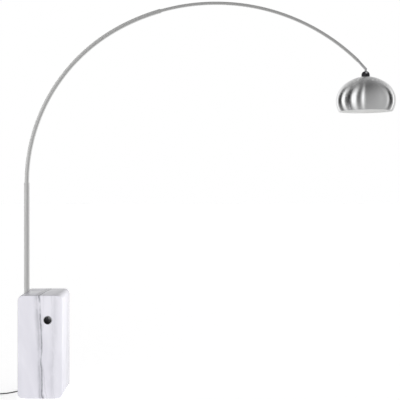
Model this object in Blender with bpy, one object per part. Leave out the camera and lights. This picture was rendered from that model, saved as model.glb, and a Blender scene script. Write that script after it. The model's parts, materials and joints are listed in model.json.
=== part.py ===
"""Arc floor lamp: marble base, telescopic square-tube arc and a domed metal shade.

Frame: metres, +Z up, +X from the base towards the shade. The origin is the centre of the
base's underside, on the floor. The whole arc lies in the plane Y = 0.
"""
from math import acos, asin, atan2, cos, degrees, hypot, pi, radians, sin, sqrt

import bmesh
import bpy
from mathutils import Matrix, Vector

# ---- clearances ----
GAP = 0.0003             # between pieces that touch
SLIDE_GAP = 0.0005       # between tubes that slide in each other

# ---- marble base ----
BASE_WIDTH = 0.240       # along X
BASE_DEPTH = 0.190       # along Y
BASE_HEIGHT = 0.555      # floor to top
BASE_CORNER = 0.028      # radius of the four long rounded corners
BASE_BEVEL = 0.005       # softened front and rear edges
FELT_THICKNESS = 0.003
FELT_MARGIN = 0.006
HOLE_X = 0.042           # carrying hole, from the middle of the base
HOLE_Z = 0.423
HOLE_BORE = 0.040
LINER_WALL = 0.0015
LINER_LIP_WIDTH = 0.0035 # from the bore to the lip's outer edge
LINER_LIP = 0.0016

# ---- square tubes ----
POST_SIZE = 0.025
POST_WALL = 0.002
LOWER_WALL = 0.002
UPPER_WALL = 0.0015
EDGE_ROUND = 0.0014      # outer corner radius of every tube
POST_X = -0.0955
POST_BOTTOM = 0.050
POST_TOP = 1.1554
LOWER_TAIL = 0.300       # straight length of the lower arc inside the post
LOWER_RADIUS = 0.9679    # first stretch of the arc, from the post
UPPER_RADIUS = 1.1195    # second stretch, on which the upper arc slides
BLEND_ANGLE = 118.85     # where the two radii meet, degrees above +X
LOWER_END_ANGLE = 105.8
UPPER_TAIL_ANGLE = 114.0
UPPER_END_ANGLE = 45.7
STEP_ANGLE = 2.1         # arc facets, degrees

# ---- stem fixing and cable entry ----
BOLT_DIAMETER = 0.010
BOLT_FLATS = 0.017
BOLT_HEAD = 0.007
PLUG_HEIGHT = 0.030
COUNTERBORE = 0.036
COUNTERBORE_TOP = 0.030
WASHER_DIAMETER = 0.030
WASHER_THICKNESS = 0.003
CABLE_Z = 0.100          # cable outlet above the floor
DUCT_DIAMETER = 0.014
GLAND_FLANGE = 0.022
GLAND_LIP = 0.003
GLAND_SPIGOT = 0.012
BOOT_LENGTH = 0.028
BOOT_ROOT = 0.0115
BOOT_TIP = 0.0078
LEAD_DIAMETER = 0.005    # the lighter cable inside the tubes
LOCK_HEAD = 0.009
LOCK_HEAD_HEIGHT = 0.004
LOCK_SHANK = 0.0044
LOCK_SETBACK = 0.022

# ---- head ----
SHADE_X = 1.7674
PIVOT_Z = 1.758
PIVOT_RISE = 0.0189      # pivot above the underside of the knuckle
TIP_SIZE = 0.0134
TIP_ROUND = 0.003
TIP_RISE = 0.022         # barrel above the pivot
TONGUE_WIDTH = 0.012
TONGUE_THICKNESS = 0.009
TIP_SPIGOT = 0.024
TIP_BORE = 0.0062        # way through the tip for the cable
KNUCKLE_RADIUS = 0.0228
KNUCKLE_HEIGHT = 0.0295
KNUCKLE_FULLNESS = 0.77  # below 1 the dome is fuller than an ellipse
KNUCKLE_FLOOR = 0.0095
PIVOT_SCREW = 0.004
PIVOT_HEAD = 0.0125       # diameter of the pivot screws' heads
PIVOT_SEAT = 0.0155      # how far out the heads sit
NIPPLE_OUTER = 0.010
NIPPLE_BORE = 0.007
SHADE_RADIUS = 0.160     # widest half width of the shade
SHADE_HALF_HEIGHT = 0.1335
RIM_DROP = 0.0575        # lower edge below the widest level
SHADE_WALL = 0.0012
SHADE_MOUTH = 0.107      # radius of the reflector's upper opening
SLIDE_RADIUS = 0.118     # where the ball zone of the shade is set out
BALL_ZONE = 0.132        # radius to which the reflector follows the ball
ELLIPSE_FROM = 0.139     # radius from which it follows the ellipse
CAP_RADIUS = 0.1195
CAP_WALL = 0.0012
CAP_HOLES = 24
CAP_HOLE_DIAMETER = 0.0075
CAP_HOLE_CIRCLE = 0.098
HOLDER_RADIUS = 0.021
HOLDER_DROP = 0.0169     # top of the lampholder below the top of the cap
HOLDER_LENGTH = 0.052
HOLDER_WALL = 0.0015
BULB_CAP_RADIUS = 0.0132
BULB_RADIUS = 0.030
BULB_LENGTH = 0.093      # from the lampholder's mouth to the bulb's lowest point

# ---- mains cord and what is on it ----
CORD_DIAMETER = 0.0062
CORD_Z = 0.0034
COIL_CENTRE = (-0.315, -0.190)
COIL_MEAN_RADIUS = 0.033
COIL_WIDTH = 0.0190      # three turns side by side
COIL_HEIGHT = 0.0128     # two turns high
SWITCH_CENTRE = (-0.2870, -0.0720)
SWITCH_TURN = 213.0      # direction in which the cord runs on, degrees
SWITCH_LENGTH = 0.086
SWITCH_WIDTH = 0.036
SWITCH_TRAY = 0.008
SWITCH_HEIGHT = 0.022
SWITCH_WALL = 0.002
BUTTON_RADIUS = 0.0115
BUTTON_TOP = 0.0262
BUTTON_TRAVEL = 0.0025
PLUG_POINT = (-0.262, -0.2385)
PLUG_LENGTH = 0.036
PLUG_TAIL = 0.016
PLUG_WIDTH = 0.026
PLUG_THICKNESS = 0.0137
PIN_LENGTH = 0.019
PIN_DIAMETER = 0.004
PIN_SPACING = 0.0186

# cord from the strain relief to the foot switch, over the floor round the base's left side
CORD_TO_SWITCH = [
    (-0.0955, 0.1270, 0.1000), (-0.0960, 0.1420, 0.0985), (-0.0985, 0.1590, 0.0905),
    (-0.1035, 0.1735, 0.0735), (-0.1110, 0.1835, 0.0500), (-0.1210, 0.1885, 0.0270),
    (-0.1340, 0.1870, 0.0100), (-0.1480, 0.1765, CORD_Z), (-0.1560, 0.1560, CORD_Z),
    (-0.1560, 0.1300, CORD_Z), (-0.1500, 0.1010, CORD_Z), (-0.1440, 0.0720, CORD_Z),
    (-0.1420, 0.0440, CORD_Z), (-0.1510, 0.0150, CORD_Z), (-0.1760, -0.0040, CORD_Z),
    (-0.2015, -0.0200, 0.0042), (-0.2270, -0.0352, 0.0075), (-0.2390, -0.0432, 0.0090),
    (-0.2507, -0.0484, 0.0090),
]

# cord from the foot switch to where it enters the coil
CORD_TO_COIL = [
    (-0.3233, -0.0956, 0.0090), (-0.3340, -0.1030, 0.0086), (-0.3440, -0.1115, 0.0060),
    (-0.3535, -0.1240, CORD_Z), (-0.3590, -0.1400, CORD_Z), (-0.3606, -0.1600, CORD_Z),
    (-0.3606, -0.1800, CORD_Z), (-0.3606, -0.1895, CORD_Z),
]

# cord from the coil to the plug
CORD_TO_PLUG = [
    (-0.3145, -0.2356, CORD_Z), (-0.3040, -0.2362, CORD_Z), (-0.2960, -0.2374, 0.0040),
    (-0.2870, -0.2384, 0.0058), (-0.2784, -0.2385, 0.00685),
]

# ---- worked out from the above ----
MARBLE_BOTTOM = FELT_THICKNESS + GAP
POST_INNER = POST_SIZE - 2 * POST_WALL
LOWER_SIZE = POST_INNER - 2 * SLIDE_GAP
LOWER_INNER = LOWER_SIZE - 2 * LOWER_WALL
UPPER_SIZE = LOWER_INNER - 2 * SLIDE_GAP
UPPER_INNER = UPPER_SIZE - 2 * UPPER_WALL
LOWER_CENTRE = Vector((POST_X + LOWER_RADIUS, 0, POST_TOP))
BACK = BASE_DEPTH / 2


def on_circle(centre, radius, angle):
    """Point of a circle in the plane of the arc, angle in degrees above +X."""
    a = radians(angle)
    return Vector((centre[0] + radius * cos(a), 0, centre[2] + radius * sin(a)))


BLEND_POINT = on_circle(LOWER_CENTRE, LOWER_RADIUS, BLEND_ANGLE)
UPPER_CENTRE = on_circle(BLEND_POINT, -UPPER_RADIUS, BLEND_ANGLE)
ARC_END = on_circle(UPPER_CENTRE, UPPER_RADIUS, UPPER_END_ANGLE)
PIVOT = Vector((SHADE_X, 0, PIVOT_Z))
BARREL = PIVOT + Vector((0, 0, TIP_RISE))


# the head hangs from its pivot: knuckle, cap and lampholder follow one another down
KNUCKLE_BOTTOM = PIVOT_Z - PIVOT_RISE
SLOT_FLOOR = KNUCKLE_BOTTOM + KNUCKLE_FLOOR
CAP_TOP = KNUCKLE_BOTTOM - GAP
HOLDER_TOP = CAP_TOP - HOLDER_DROP
HOLDER_BOTTOM = HOLDER_TOP - HOLDER_LENGTH
BULB_BOTTOM = HOLDER_BOTTOM - BULB_LENGTH

# the ball zone touches the shade's ellipse at SLIDE_RADIUS and has its centre on the axis
touch_height = SHADE_HALF_HEIGHT * sqrt(1 - (SLIDE_RADIUS / SHADE_RADIUS) ** 2)
touch_slope = SLIDE_RADIUS / SHADE_RADIUS ** 2 * SHADE_HALF_HEIGHT ** 2 / touch_height
BALL_RADIUS = SLIDE_RADIUS * hypot(1, touch_slope) / touch_slope
CAP_BALL = BALL_RADIUS - SHADE_WALL - GAP
BALL_Z = CAP_TOP - CAP_BALL
SHADE_EQUATOR = BALL_Z + SLIDE_RADIUS / touch_slope - touch_height
SHADE_RIM = SHADE_EQUATOR - RIM_DROP


# ---- scene, materials and joints' empties ----
for old in list(bpy.data.objects):
    bpy.data.objects.remove(old, do_unlink=True)

empties = {}


def make_empty(name, place, parent=None):
    """An empty on a joint's axis, which carries the pieces that move with it."""
    empty = bpy.data.objects.new(name, None)
    bpy.context.scene.collection.objects.link(empty)
    empty.empty_display_size = 0.05
    base = empties[parent][1] if parent else Vector((0, 0, 0))
    if parent:
        empty.parent = empties[parent][0]
    empty.location = Vector(place) - base
    empties[name] = (empty, Vector(place))


def material(name, colour, roughness, metallic=0.0):
    mat = bpy.data.materials.new(name)
    mat.use_nodes = True
    mat.diffuse_color = (*colour, 1)
    shader = mat.node_tree.nodes["Principled BSDF"]
    shader.inputs["Base Color"].default_value = (*colour, 1)
    shader.inputs["Roughness"].default_value = roughness
    shader.inputs["Metallic"].default_value = metallic
    return mat


FINISHES = {
    "marble": ((0.86, 0.85, 0.88), 0.18, 0.0),
    "satin_steel": ((0.58, 0.58, 0.58), 0.32, 1.0),
    "chrome": ((0.75, 0.75, 0.77), 0.08, 1.0),
    "dark_chrome": ((0.08, 0.08, 0.09), 0.12, 1.0),
    "spun_aluminium": ((0.70, 0.70, 0.71), 0.20, 1.0),
    "zinc_steel": ((0.50, 0.51, 0.52), 0.45, 1.0),
    "felt": ((0.04, 0.04, 0.045), 0.95, 0.0),
    "black_rubber": ((0.02, 0.02, 0.02), 0.55, 0.0),
    "black_plastic": ((0.03, 0.03, 0.03), 0.35, 0.0),
    "white_lead": ((0.75, 0.75, 0.73), 0.50, 0.0),
    "ceramic": ((0.85, 0.84, 0.80), 0.30, 0.0),
    "opal_glass": ((0.92, 0.92, 0.90), 0.25, 0.0),
    "brass": ((0.72, 0.55, 0.28), 0.25, 1.0),
}


# ---- shapes ----
def finish(name, bm, finish_name, parent=None, origin=(0, 0, 0)):
    """Turn a bmesh built in world places into an object with its origin where it belongs."""
    bmesh.ops.recalc_face_normals(bm, faces=bm.faces)
    home = empties[parent][1] if parent else Vector(origin)
    bmesh.ops.translate(bm, verts=bm.verts, vec=-home)
    mesh = bpy.data.meshes.new(name)
    bm.to_mesh(mesh)
    bm.free()
    mesh.shade_smooth()
    mesh.set_sharp_from_angle(angle=radians(35))
    obj = bpy.data.objects.new(name, mesh)
    bpy.context.scene.collection.objects.link(obj)
    if parent:
        obj.parent = empties[parent][0]
    else:
        obj.location = home
    if finish_name:
        mesh.materials.append(material(name, *FINISHES[finish_name]))
    return obj


def cut(obj, cutter, operation="DIFFERENCE", parent=None):
    """Cut an object with, or join to it, the shape of a hidden guide object."""
    guide = finish(obj.name + "_guide", cutter, None, parent)
    guide.hide_render = True
    guide.display_type = "WIRE"
    step = obj.modifiers.new(operation.lower(), "BOOLEAN")
    step.operation = operation
    step.object = guide


def box(low, high):
    bm = bmesh.new()
    bmesh.ops.create_cube(bm, size=1)
    size = Vector(high) - Vector(low)
    bmesh.ops.scale(bm, vec=size, verts=bm.verts)
    bmesh.ops.translate(bm, vec=(Vector(high) + Vector(low)) / 2, verts=bm.verts)
    return bm


def rod(start, end, diameter, sides=24, diameter_end=None):
    """A round bar, or a cone, between two points."""
    start, end = Vector(start), Vector(end)
    along = end - start
    turn = along.to_track_quat("Z", "Y").to_matrix().to_4x4()
    bm = bmesh.new()
    bmesh.ops.create_cone(
        bm, cap_ends=True, segments=sides, radius1=diameter / 2,
        radius2=(diameter if diameter_end is None else diameter_end) / 2,
        depth=along.length, matrix=Matrix.Translation((start + end) / 2) @ turn)
    return bm


def turned(outline, centre, steps=32, axis="Z"):
    """Spin a closed outline of (radius, height) points about an axis through centre."""
    bm = bmesh.new()
    verts = [bm.verts.new((r, 0, h)) for r, h in outline]
    loop = list(zip(verts, verts[1:] + verts[:1]))
    edges = [bm.edges.new(pair) for pair in loop if pair[0].co.x > 0 or pair[1].co.x > 0]
    bmesh.ops.spin(bm, geom=verts + edges, cent=(0, 0, 0), axis=(0, 0, 1), dvec=(0, 0, 0),
                   angle=2 * pi, steps=steps, use_merge=True)
    bmesh.ops.remove_doubles(bm, verts=bm.verts, dist=0.000001)
    if axis == "Y":
        bmesh.ops.rotate(bm, verts=bm.verts, cent=(0, 0, 0), matrix=Matrix.Rotation(-pi / 2, 3, "X"))
    bmesh.ops.translate(bm, vec=centre, verts=bm.verts)
    return bm


def rounded_outline(half_width, half_height, radius, steps):
    """Corner points of a rectangle with round corners, anticlockwise."""
    points = []
    for corner, (sx, sy) in enumerate(((1, 1), (-1, 1), (-1, -1), (1, -1))):
        cx, cy = sx * (half_width - radius), sy * (half_height - radius)
        for i in range(steps + 1):
            a = pi / 2 * (corner + i / steps)
            points.append((cx + radius * cos(a), cy + radius * sin(a)))
    return points


def plate(points, low, high):
    """Extrude an outline of (x, y) points from one height to another."""
    bm = bmesh.new()
    face = bm.faces.new([bm.verts.new((x, y, low)) for x, y in points])
    top = bmesh.ops.extrude_face_region(bm, geom=[face])["geom"]
    bmesh.ops.translate(bm, vec=(0, 0, high - low), verts=[v for v in top if isinstance(v, bmesh.types.BMVert)])
    return bm


def square_ring(bm, size, inner, place):
    """End face of a square tube: the space between two outlines, across +Z at a place."""
    loops = []
    for width, radius in ((size, EDGE_ROUND), (inner, max(EDGE_ROUND - (size - inner) / 2, 0.0004))):
        outline = rounded_outline(width / 2, width / 2, radius, 1)
        verts = [bm.verts.new((place[0] + x, place[1] + y, place[2])) for x, y in outline]
        loops += [bm.edges.new((verts[i - 1], verts[i])) for i in range(len(verts))]
    return bmesh.ops.bridge_loops(bm, edges=loops)["faces"]


def extend(bm, faces, first):
    """Extrude end faces on the spot; all but a tube's first end are then inside it and go."""
    new = bmesh.ops.extrude_face_region(bm, geom=faces)["geom"]
    if not first:
        bmesh.ops.delete(bm, geom=faces, context="FACES_ONLY")
    return ([f for f in new if isinstance(f, bmesh.types.BMFace)],
            [v for v in new if isinstance(v, bmesh.types.BMVert)])


def pull(bm, faces, length):
    """Draw a tube's first end straight up."""
    faces, verts = extend(bm, faces, True)
    bmesh.ops.translate(bm, vec=(0, 0, length), verts=verts)
    return faces


def bend(bm, faces, centre, angle, first=False):
    """Draw a tube's end about a centre in the arc's plane, clockwise seen from the front."""
    steps = max(1, round(angle / STEP_ANGLE))
    for i in range(steps):
        faces, verts = extend(bm, faces, first and i == 0)
        bmesh.ops.rotate(bm, cent=centre, matrix=Matrix.Rotation(radians(angle / steps), 3, "Y"), verts=verts)
    return faces


def cable(name, points, diameter, finish_name, parent=None, spacing=2.5, resolution=2):
    """A tube along a smooth curve through the given points."""
    length = sum((Vector(b) - Vector(a)).length for a, b in zip(points, points[1:]))
    knots = [Vector(p) for p in points]
    ends = [2 * knots[0] - knots[1]] + knots + [2 * knots[-1] - knots[-2]]
    count = max(2, round(length / (spacing * diameter)))
    per_span = max(1, round(count / (len(knots) - 1)))
    smooth = []
    for i in range(1, len(ends) - 2):
        a, b, c, d = ends[i - 1:i + 3]
        for k in range(per_span):
            t = k / per_span
            smooth.append(0.5 * ((2 * b) + (c - a) * t + (2 * a - 5 * b + 4 * c - d) * t ** 2
                                 + (3 * b - a - 3 * c + d) * t ** 3))
    smooth.append(knots[-1])
    home = empties[parent][1] if parent else Vector((0, 0, 0))
    curve = bpy.data.curves.new(name, "CURVE")
    curve.dimensions = "3D"
    curve.bevel_depth = diameter / 2
    curve.bevel_resolution = resolution
    curve.use_fill_caps = True
    spline = curve.splines.new("POLY")
    spline.points.add(len(smooth) - 1)
    for point, place in zip(spline.points, smooth):
        point.co = (*(place - home), 1)
    obj = bpy.data.objects.new(name, curve)
    bpy.context.scene.collection.objects.link(obj)
    if parent:
        obj.parent = empties[parent][0]
    curve.materials.append(material(name, *FINISHES[finish_name]))
    return obj


def lock_screw(name, place, wall, parent):
    """Cap screw through the back wall of a tube, pressing the tube inside it."""
    head, shank = LOCK_HEAD / 2, LOCK_SHANK / 2
    tip = -wall - 0.0002
    outline = [(0, tip), (shank, tip), (shank, GAP), (head, GAP), (head, LOCK_HEAD_HEIGHT),
               (head * 0.45, LOCK_HEAD_HEIGHT), (head * 0.45, LOCK_HEAD_HEIGHT * 0.5),
               (0, LOCK_HEAD_HEIGHT * 0.5)]
    return finish(name, turned(outline, place, 16, "Y"), "zinc_steel", parent)


# ---- the base ----
def build_base():
    half_height = (BASE_HEIGHT - MARBLE_BOTTOM) / 2
    middle = MARBLE_BOTTOM + half_height
    block = plate(rounded_outline(BASE_WIDTH / 2, half_height, BASE_CORNER, 8), -BACK, BACK)
    rims = [e for e in block.edges if abs(e.verts[0].co.z - e.verts[1].co.z) < 0.00001]
    bmesh.ops.bevel(block, geom=rims, offset=BASE_BEVEL, segments=3, profile=0.5, affect="EDGES")
    bmesh.ops.rotate(block, verts=block.verts, cent=(0, 0, 0), matrix=Matrix.Rotation(pi / 2, 3, "X"))
    bmesh.ops.translate(block, vec=(0, 0, middle), verts=block.verts)
    marble = finish("marble_block", block, "marble")
    half = POST_SIZE / 2 + SLIDE_GAP
    cut(marble, box((POST_X - half, -half, POST_BOTTOM), (POST_X + half, half, BASE_HEIGHT + 0.01)))
    cut(marble, rod((POST_X, 0, COUNTERBORE_TOP - 0.005), (POST_X, 0, POST_BOTTOM + 0.005),
                    BOLT_DIAMETER + 0.001))
    cut(marble, rod((POST_X, 0, -0.01), (POST_X, 0, COUNTERBORE_TOP), COUNTERBORE, 32))
    cut(marble, rod((POST_X, 0.005, CABLE_Z), (POST_X, BACK + 0.01, CABLE_Z), DUCT_DIAMETER, 20))
    cut(marble, rod((HOLE_X, -BACK - 0.01, HOLE_Z), (HOLE_X, BACK + 0.01, HOLE_Z),
                    HOLE_BORE + 2 * (LINER_WALL + GAP), 40))

    felt_x = BASE_WIDTH / 2 - BASE_CORNER - FELT_MARGIN
    felt_y = BACK - BASE_BEVEL - FELT_MARGIN
    finish("felt_underlay", plate(rounded_outline(felt_x, felt_y, 0.008, 3), 0, FELT_THICKNESS), "felt")

    # the chrome lining of the carrying hole: one lipped tube from each side
    bore, outer, lip = HOLE_BORE / 2, HOLE_BORE / 2 + LINER_WALL, HOLE_BORE / 2 + LINER_LIP_WIDTH
    face = BACK + GAP
    for name, side in (("hole_liner_front", -1), ("hole_liner_rear", 1)):
        outline = [(bore, GAP / 2), (outer, GAP / 2), (outer, face), (lip, face),
                   (lip, face + LINER_LIP * 0.5), (lip - LINER_LIP * 0.6, face + LINER_LIP),
                   (bore + LINER_LIP, face + LINER_LIP), (bore, face + LINER_LIP * 0.4)]
        tube = turned([(r, h * side) for r, h in outline], (HOLE_X, 0, HOLE_Z), 40, "Y")
        finish(name, tube, "chrome")


def build_post():
    bm = bmesh.new()
    end = square_ring(bm, POST_SIZE, POST_INNER, (POST_X, 0, POST_BOTTOM + GAP))
    pull(bm, end, POST_TOP - POST_BOTTOM - GAP)
    post = finish("stem_post", bm, "satin_steel")
    window = 0.0045
    cut(post, box((POST_X - window, 0.005, CABLE_Z - 0.006), (POST_X + window, 0.02, CABLE_Z + 0.022)))
    screw_z = POST_TOP - LOCK_SETBACK
    cut(post, rod((POST_X, 0.006, screw_z), (POST_X, 0.02, screw_z), LOCK_SHANK + 2 * GAP, 16))
    lock_screw("post_lock_screw", (POST_X, POST_SIZE / 2, screw_z), POST_WALL, None)

    half = POST_INNER / 2 - GAP
    low = POST_BOTTOM + GAP
    foot = finish("post_foot_plug", plate(
        [(POST_X + x, y) for x, y in rounded_outline(half, half, 0.001, 2)], low, low + PLUG_HEIGHT), "zinc_steel")
    cut(foot, rod((POST_X, 0, low - 0.01), (POST_X, 0, low + PLUG_HEIGHT + 0.01), BOLT_DIAMETER + 2 * GAP))

    washer_top = COUNTERBORE_TOP - GAP
    washer_low = washer_top - WASHER_THICKNESS
    inner = BOLT_DIAMETER / 2 + GAP
    ring = [(inner, washer_low), (WASHER_DIAMETER / 2, washer_low), (WASHER_DIAMETER / 2, washer_top),
            (inner, washer_top)]
    finish("tie_washer", turned(ring, (POST_X, 0, 0)), "zinc_steel")
    head_top = washer_low - GAP
    head = rod((POST_X, 0, head_top - BOLT_HEAD), (POST_X, 0, head_top), BOLT_FLATS / cos(pi / 6), 6)
    bolt = finish("tie_bolt", head, "zinc_steel")
    cut(bolt, rod((POST_X, 0, head_top - 0.002), (POST_X, 0, low + PLUG_HEIGHT - 0.004), BOLT_DIAMETER, 24), "UNION")


def build_cable_entry():
    bore = LEAD_DIAMETER / 2 + GAP
    face = BACK + GAP
    outline = [(bore, BACK - GLAND_SPIGOT), (DUCT_DIAMETER / 2 - GAP, BACK - GLAND_SPIGOT),
               (DUCT_DIAMETER / 2 - GAP, face), (GLAND_FLANGE / 2, face),
               (GLAND_FLANGE / 2, face + GLAND_LIP * 0.6), (GLAND_FLANGE / 2 - 0.001, face + GLAND_LIP),
               (bore, face + GLAND_LIP)]
    finish("cable_gland", turned(outline, (POST_X, 0, CABLE_Z), 28, "Y"), "black_plastic")
    root = face + GLAND_LIP + GAP
    finish("strain_relief", rod((POST_X, root, CABLE_Z), (POST_X, root + BOOT_LENGTH, CABLE_Z),
                                BOOT_ROOT, 20, BOOT_TIP), "black_rubber")
    inner = root - GAP - 0.0005
    cable("post_cable", [
        (POST_X, inner, CABLE_Z), (POST_X, inner - 0.03, CABLE_Z), (POST_X, 0.040, CABLE_Z),
        (POST_X, 0.024, CABLE_Z + 0.0004), (POST_X, 0.0125, CABLE_Z + 0.003), (POST_X, 0.005, CABLE_Z + 0.009),
        (POST_X, 0.001, CABLE_Z + 0.018), (POST_X, 0, CABLE_Z + 0.035), (POST_X, 0, CABLE_Z + 0.25),
        (POST_X, 0, CABLE_Z + 0.48), (POST_X, 0, POST_TOP - LOWER_TAIL - 0.02)],
        LEAD_DIAMETER, "white_lead", spacing=5)


# ---- the arc ----
def arc_points(centre, radius, start, end, steps):
    return [on_circle(centre, radius, start + (end - start) * i / steps) for i in range(steps + 1)]


def build_lower_arc():
    home = "stem_height_axis"
    bm = bmesh.new()
    end = square_ring(bm, LOWER_SIZE, LOWER_INNER, (POST_X, 0, POST_TOP - LOWER_TAIL))
    end = pull(bm, end, LOWER_TAIL)
    end = bend(bm, end, LOWER_CENTRE, 180 - BLEND_ANGLE)
    bend(bm, end, UPPER_CENTRE, BLEND_ANGLE - LOWER_END_ANGLE)
    tube = finish("lower_arc", bm, "satin_steel", home)
    setback = degrees(LOCK_SETBACK / UPPER_RADIUS)
    spot = on_circle(UPPER_CENTRE, UPPER_RADIUS, LOWER_END_ANGLE + setback)
    back = Vector((0, LOWER_SIZE / 2, 0))
    cut(tube, rod(spot + Vector((0, 0.005, 0)), spot + back * 1.5, LOCK_SHANK + 2 * GAP, 16), parent=home)
    lock_screw("arc_lock_screw", spot + back, LOWER_WALL, home)
    straight = [Vector((POST_X, 0, POST_TOP - LOWER_TAIL + 0.01)), Vector((POST_X, 0, POST_TOP - 0.1))]
    route = straight + arc_points(LOWER_CENTRE, LOWER_RADIUS, 180, BLEND_ANGLE + 1, 14)
    cable("lower_arc_cable", route, LEAD_DIAMETER, "white_lead", home, spacing=7)


def build_upper_arc():
    home = "arc_extension_axis"
    bm = bmesh.new()
    end = square_ring(bm, UPPER_SIZE, UPPER_INNER, (0, 0, 0))
    place = on_circle(UPPER_CENTRE, UPPER_RADIUS, UPPER_TAIL_ANGLE)
    bmesh.ops.rotate(bm, cent=(0, 0, 0), verts=bm.verts,
                     matrix=Matrix.Rotation(radians(180 - UPPER_TAIL_ANGLE), 3, "Y"))
    bmesh.ops.translate(bm, vec=place, verts=bm.verts)
    bend(bm, end, UPPER_CENTRE, UPPER_TAIL_ANGLE - UPPER_END_ANGLE, True)
    tube = finish("upper_arc", bm, "satin_steel", home)

    # the tip: a square spigot in the tube, a bar to the barrel and a tongue down to the pivot
    along = (BARREL - ARC_END).normalized()
    sweep = UPPER_TAIL_ANGLE - UPPER_END_ANGLE
    last = on_circle(UPPER_CENTRE, UPPER_RADIUS, UPPER_END_ANGLE + sweep / round(sweep / STEP_ANGLE))
    tangent = (ARC_END - last).normalized()
    bar_start = ARC_END + along * 0.0012
    bar = plate(rounded_outline(TIP_SIZE / 2, TIP_SIZE / 2, TIP_ROUND, 3), 0, (BARREL - bar_start).length)
    aim = Matrix.Rotation(atan2(along.x, along.z), 3, "Y")
    bmesh.ops.rotate(bar, cent=(0, 0, 0), matrix=aim, verts=bar.verts)
    bmesh.ops.translate(bar, vec=bar_start, verts=bar.verts)
    tip = finish("arm_tip", bar, "chrome", home)
    half = UPPER_INNER / 2 - GAP
    spigot = plate(rounded_outline(half, half, 0.001, 1), -TIP_SPIGOT, 0.004)
    bmesh.ops.rotate(spigot, cent=(0, 0, 0), verts=spigot.verts,
                     matrix=Matrix.Rotation(atan2(tangent.x, tangent.z), 3, "Y"))
    bmesh.ops.translate(spigot, vec=ARC_END, verts=spigot.verts)
    cut(tip, spigot, "UNION", home)
    barrel_half = TIP_SIZE / 2 - 0.0003
    barrel = turned([(0, -barrel_half), (TIP_SIZE / 2 - 0.001, -barrel_half), (TIP_SIZE / 2, 0.001 - barrel_half),
                     (TIP_SIZE / 2, barrel_half - 0.001), (TIP_SIZE / 2 - 0.001, barrel_half), (0, barrel_half)],
                    BARREL, 24, "Y")
    cut(tip, barrel, "UNION", home)
    wide, thick = TONGUE_WIDTH / 2, TONGUE_THICKNESS / 2
    tongue = plate([(-wide, 0), (-wide, TIP_RISE), (wide, TIP_RISE), (wide, 0)]
                   + [(wide * cos(pi * i / 8), -wide * sin(pi * i / 8)) for i in range(1, 8)], -thick, thick)
    bmesh.ops.rotate(tongue, cent=(0, 0, 0), matrix=Matrix.Rotation(pi / 2, 3, "X"), verts=tongue.verts)
    bmesh.ops.translate(tongue, vec=PIVOT, verts=tongue.verts)
    cut(tip, tongue, "UNION", home)
    cut(tip, rod(ARC_END - tangent * (TIP_SPIGOT + 0.01), ARC_END + tangent * 0.006, TIP_BORE + 0.0006, 13),
        parent=home)
    cut(tip, rod(ARC_END + along * 0.003, BARREL + along * 0.001, TIP_BORE, 15), parent=home)
    cut(tip, rod(BARREL, PIVOT - Vector((0, 0, 0.02)), TIP_BORE - 0.0004, 11), parent=home)
    side = Vector((0, TONGUE_THICKNESS, 0))
    cut(tip, rod(PIVOT - side, PIVOT + side, PIVOT_SCREW + 2 * GAP, 17), parent=home)

    # the small screw that holds the tip in the tube, on the front wall
    spot = ARC_END - tangent * 0.009
    front = Vector((0, -UPPER_SIZE / 2, 0))
    screw_hole = 0.003 + 2 * GAP
    cut(tube, rod(spot, spot + front * 1.5, screw_hole, 12), parent=home)
    cut(tip, rod(spot + front * 0.5, spot + front * 1.5, screw_hole, 12), parent=home)
    shank, head, tip_y = 0.0015, 0.0026, 0.0035
    screw = turned([(0, tip_y), (shank, tip_y), (shank, -GAP), (head, -GAP), (head, -0.0008), (0.0014, -0.0014),
                    (0.0010, -0.0008), (0, -0.0008)], spot + front, 14, "Y")
    finish("arm_tip_screw", screw, "zinc_steel", home)
    route = arc_points(UPPER_CENTRE, UPPER_RADIUS, UPPER_TAIL_ANGLE - 0.5, UPPER_END_ANGLE + 0.6, 16)
    cable("upper_arc_cable", route + [ARC_END + tangent * 0.001, ARC_END + along * 0.030, BARREL - along * 0.006],
          LEAD_DIAMETER, "white_lead", home, spacing=7)


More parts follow.
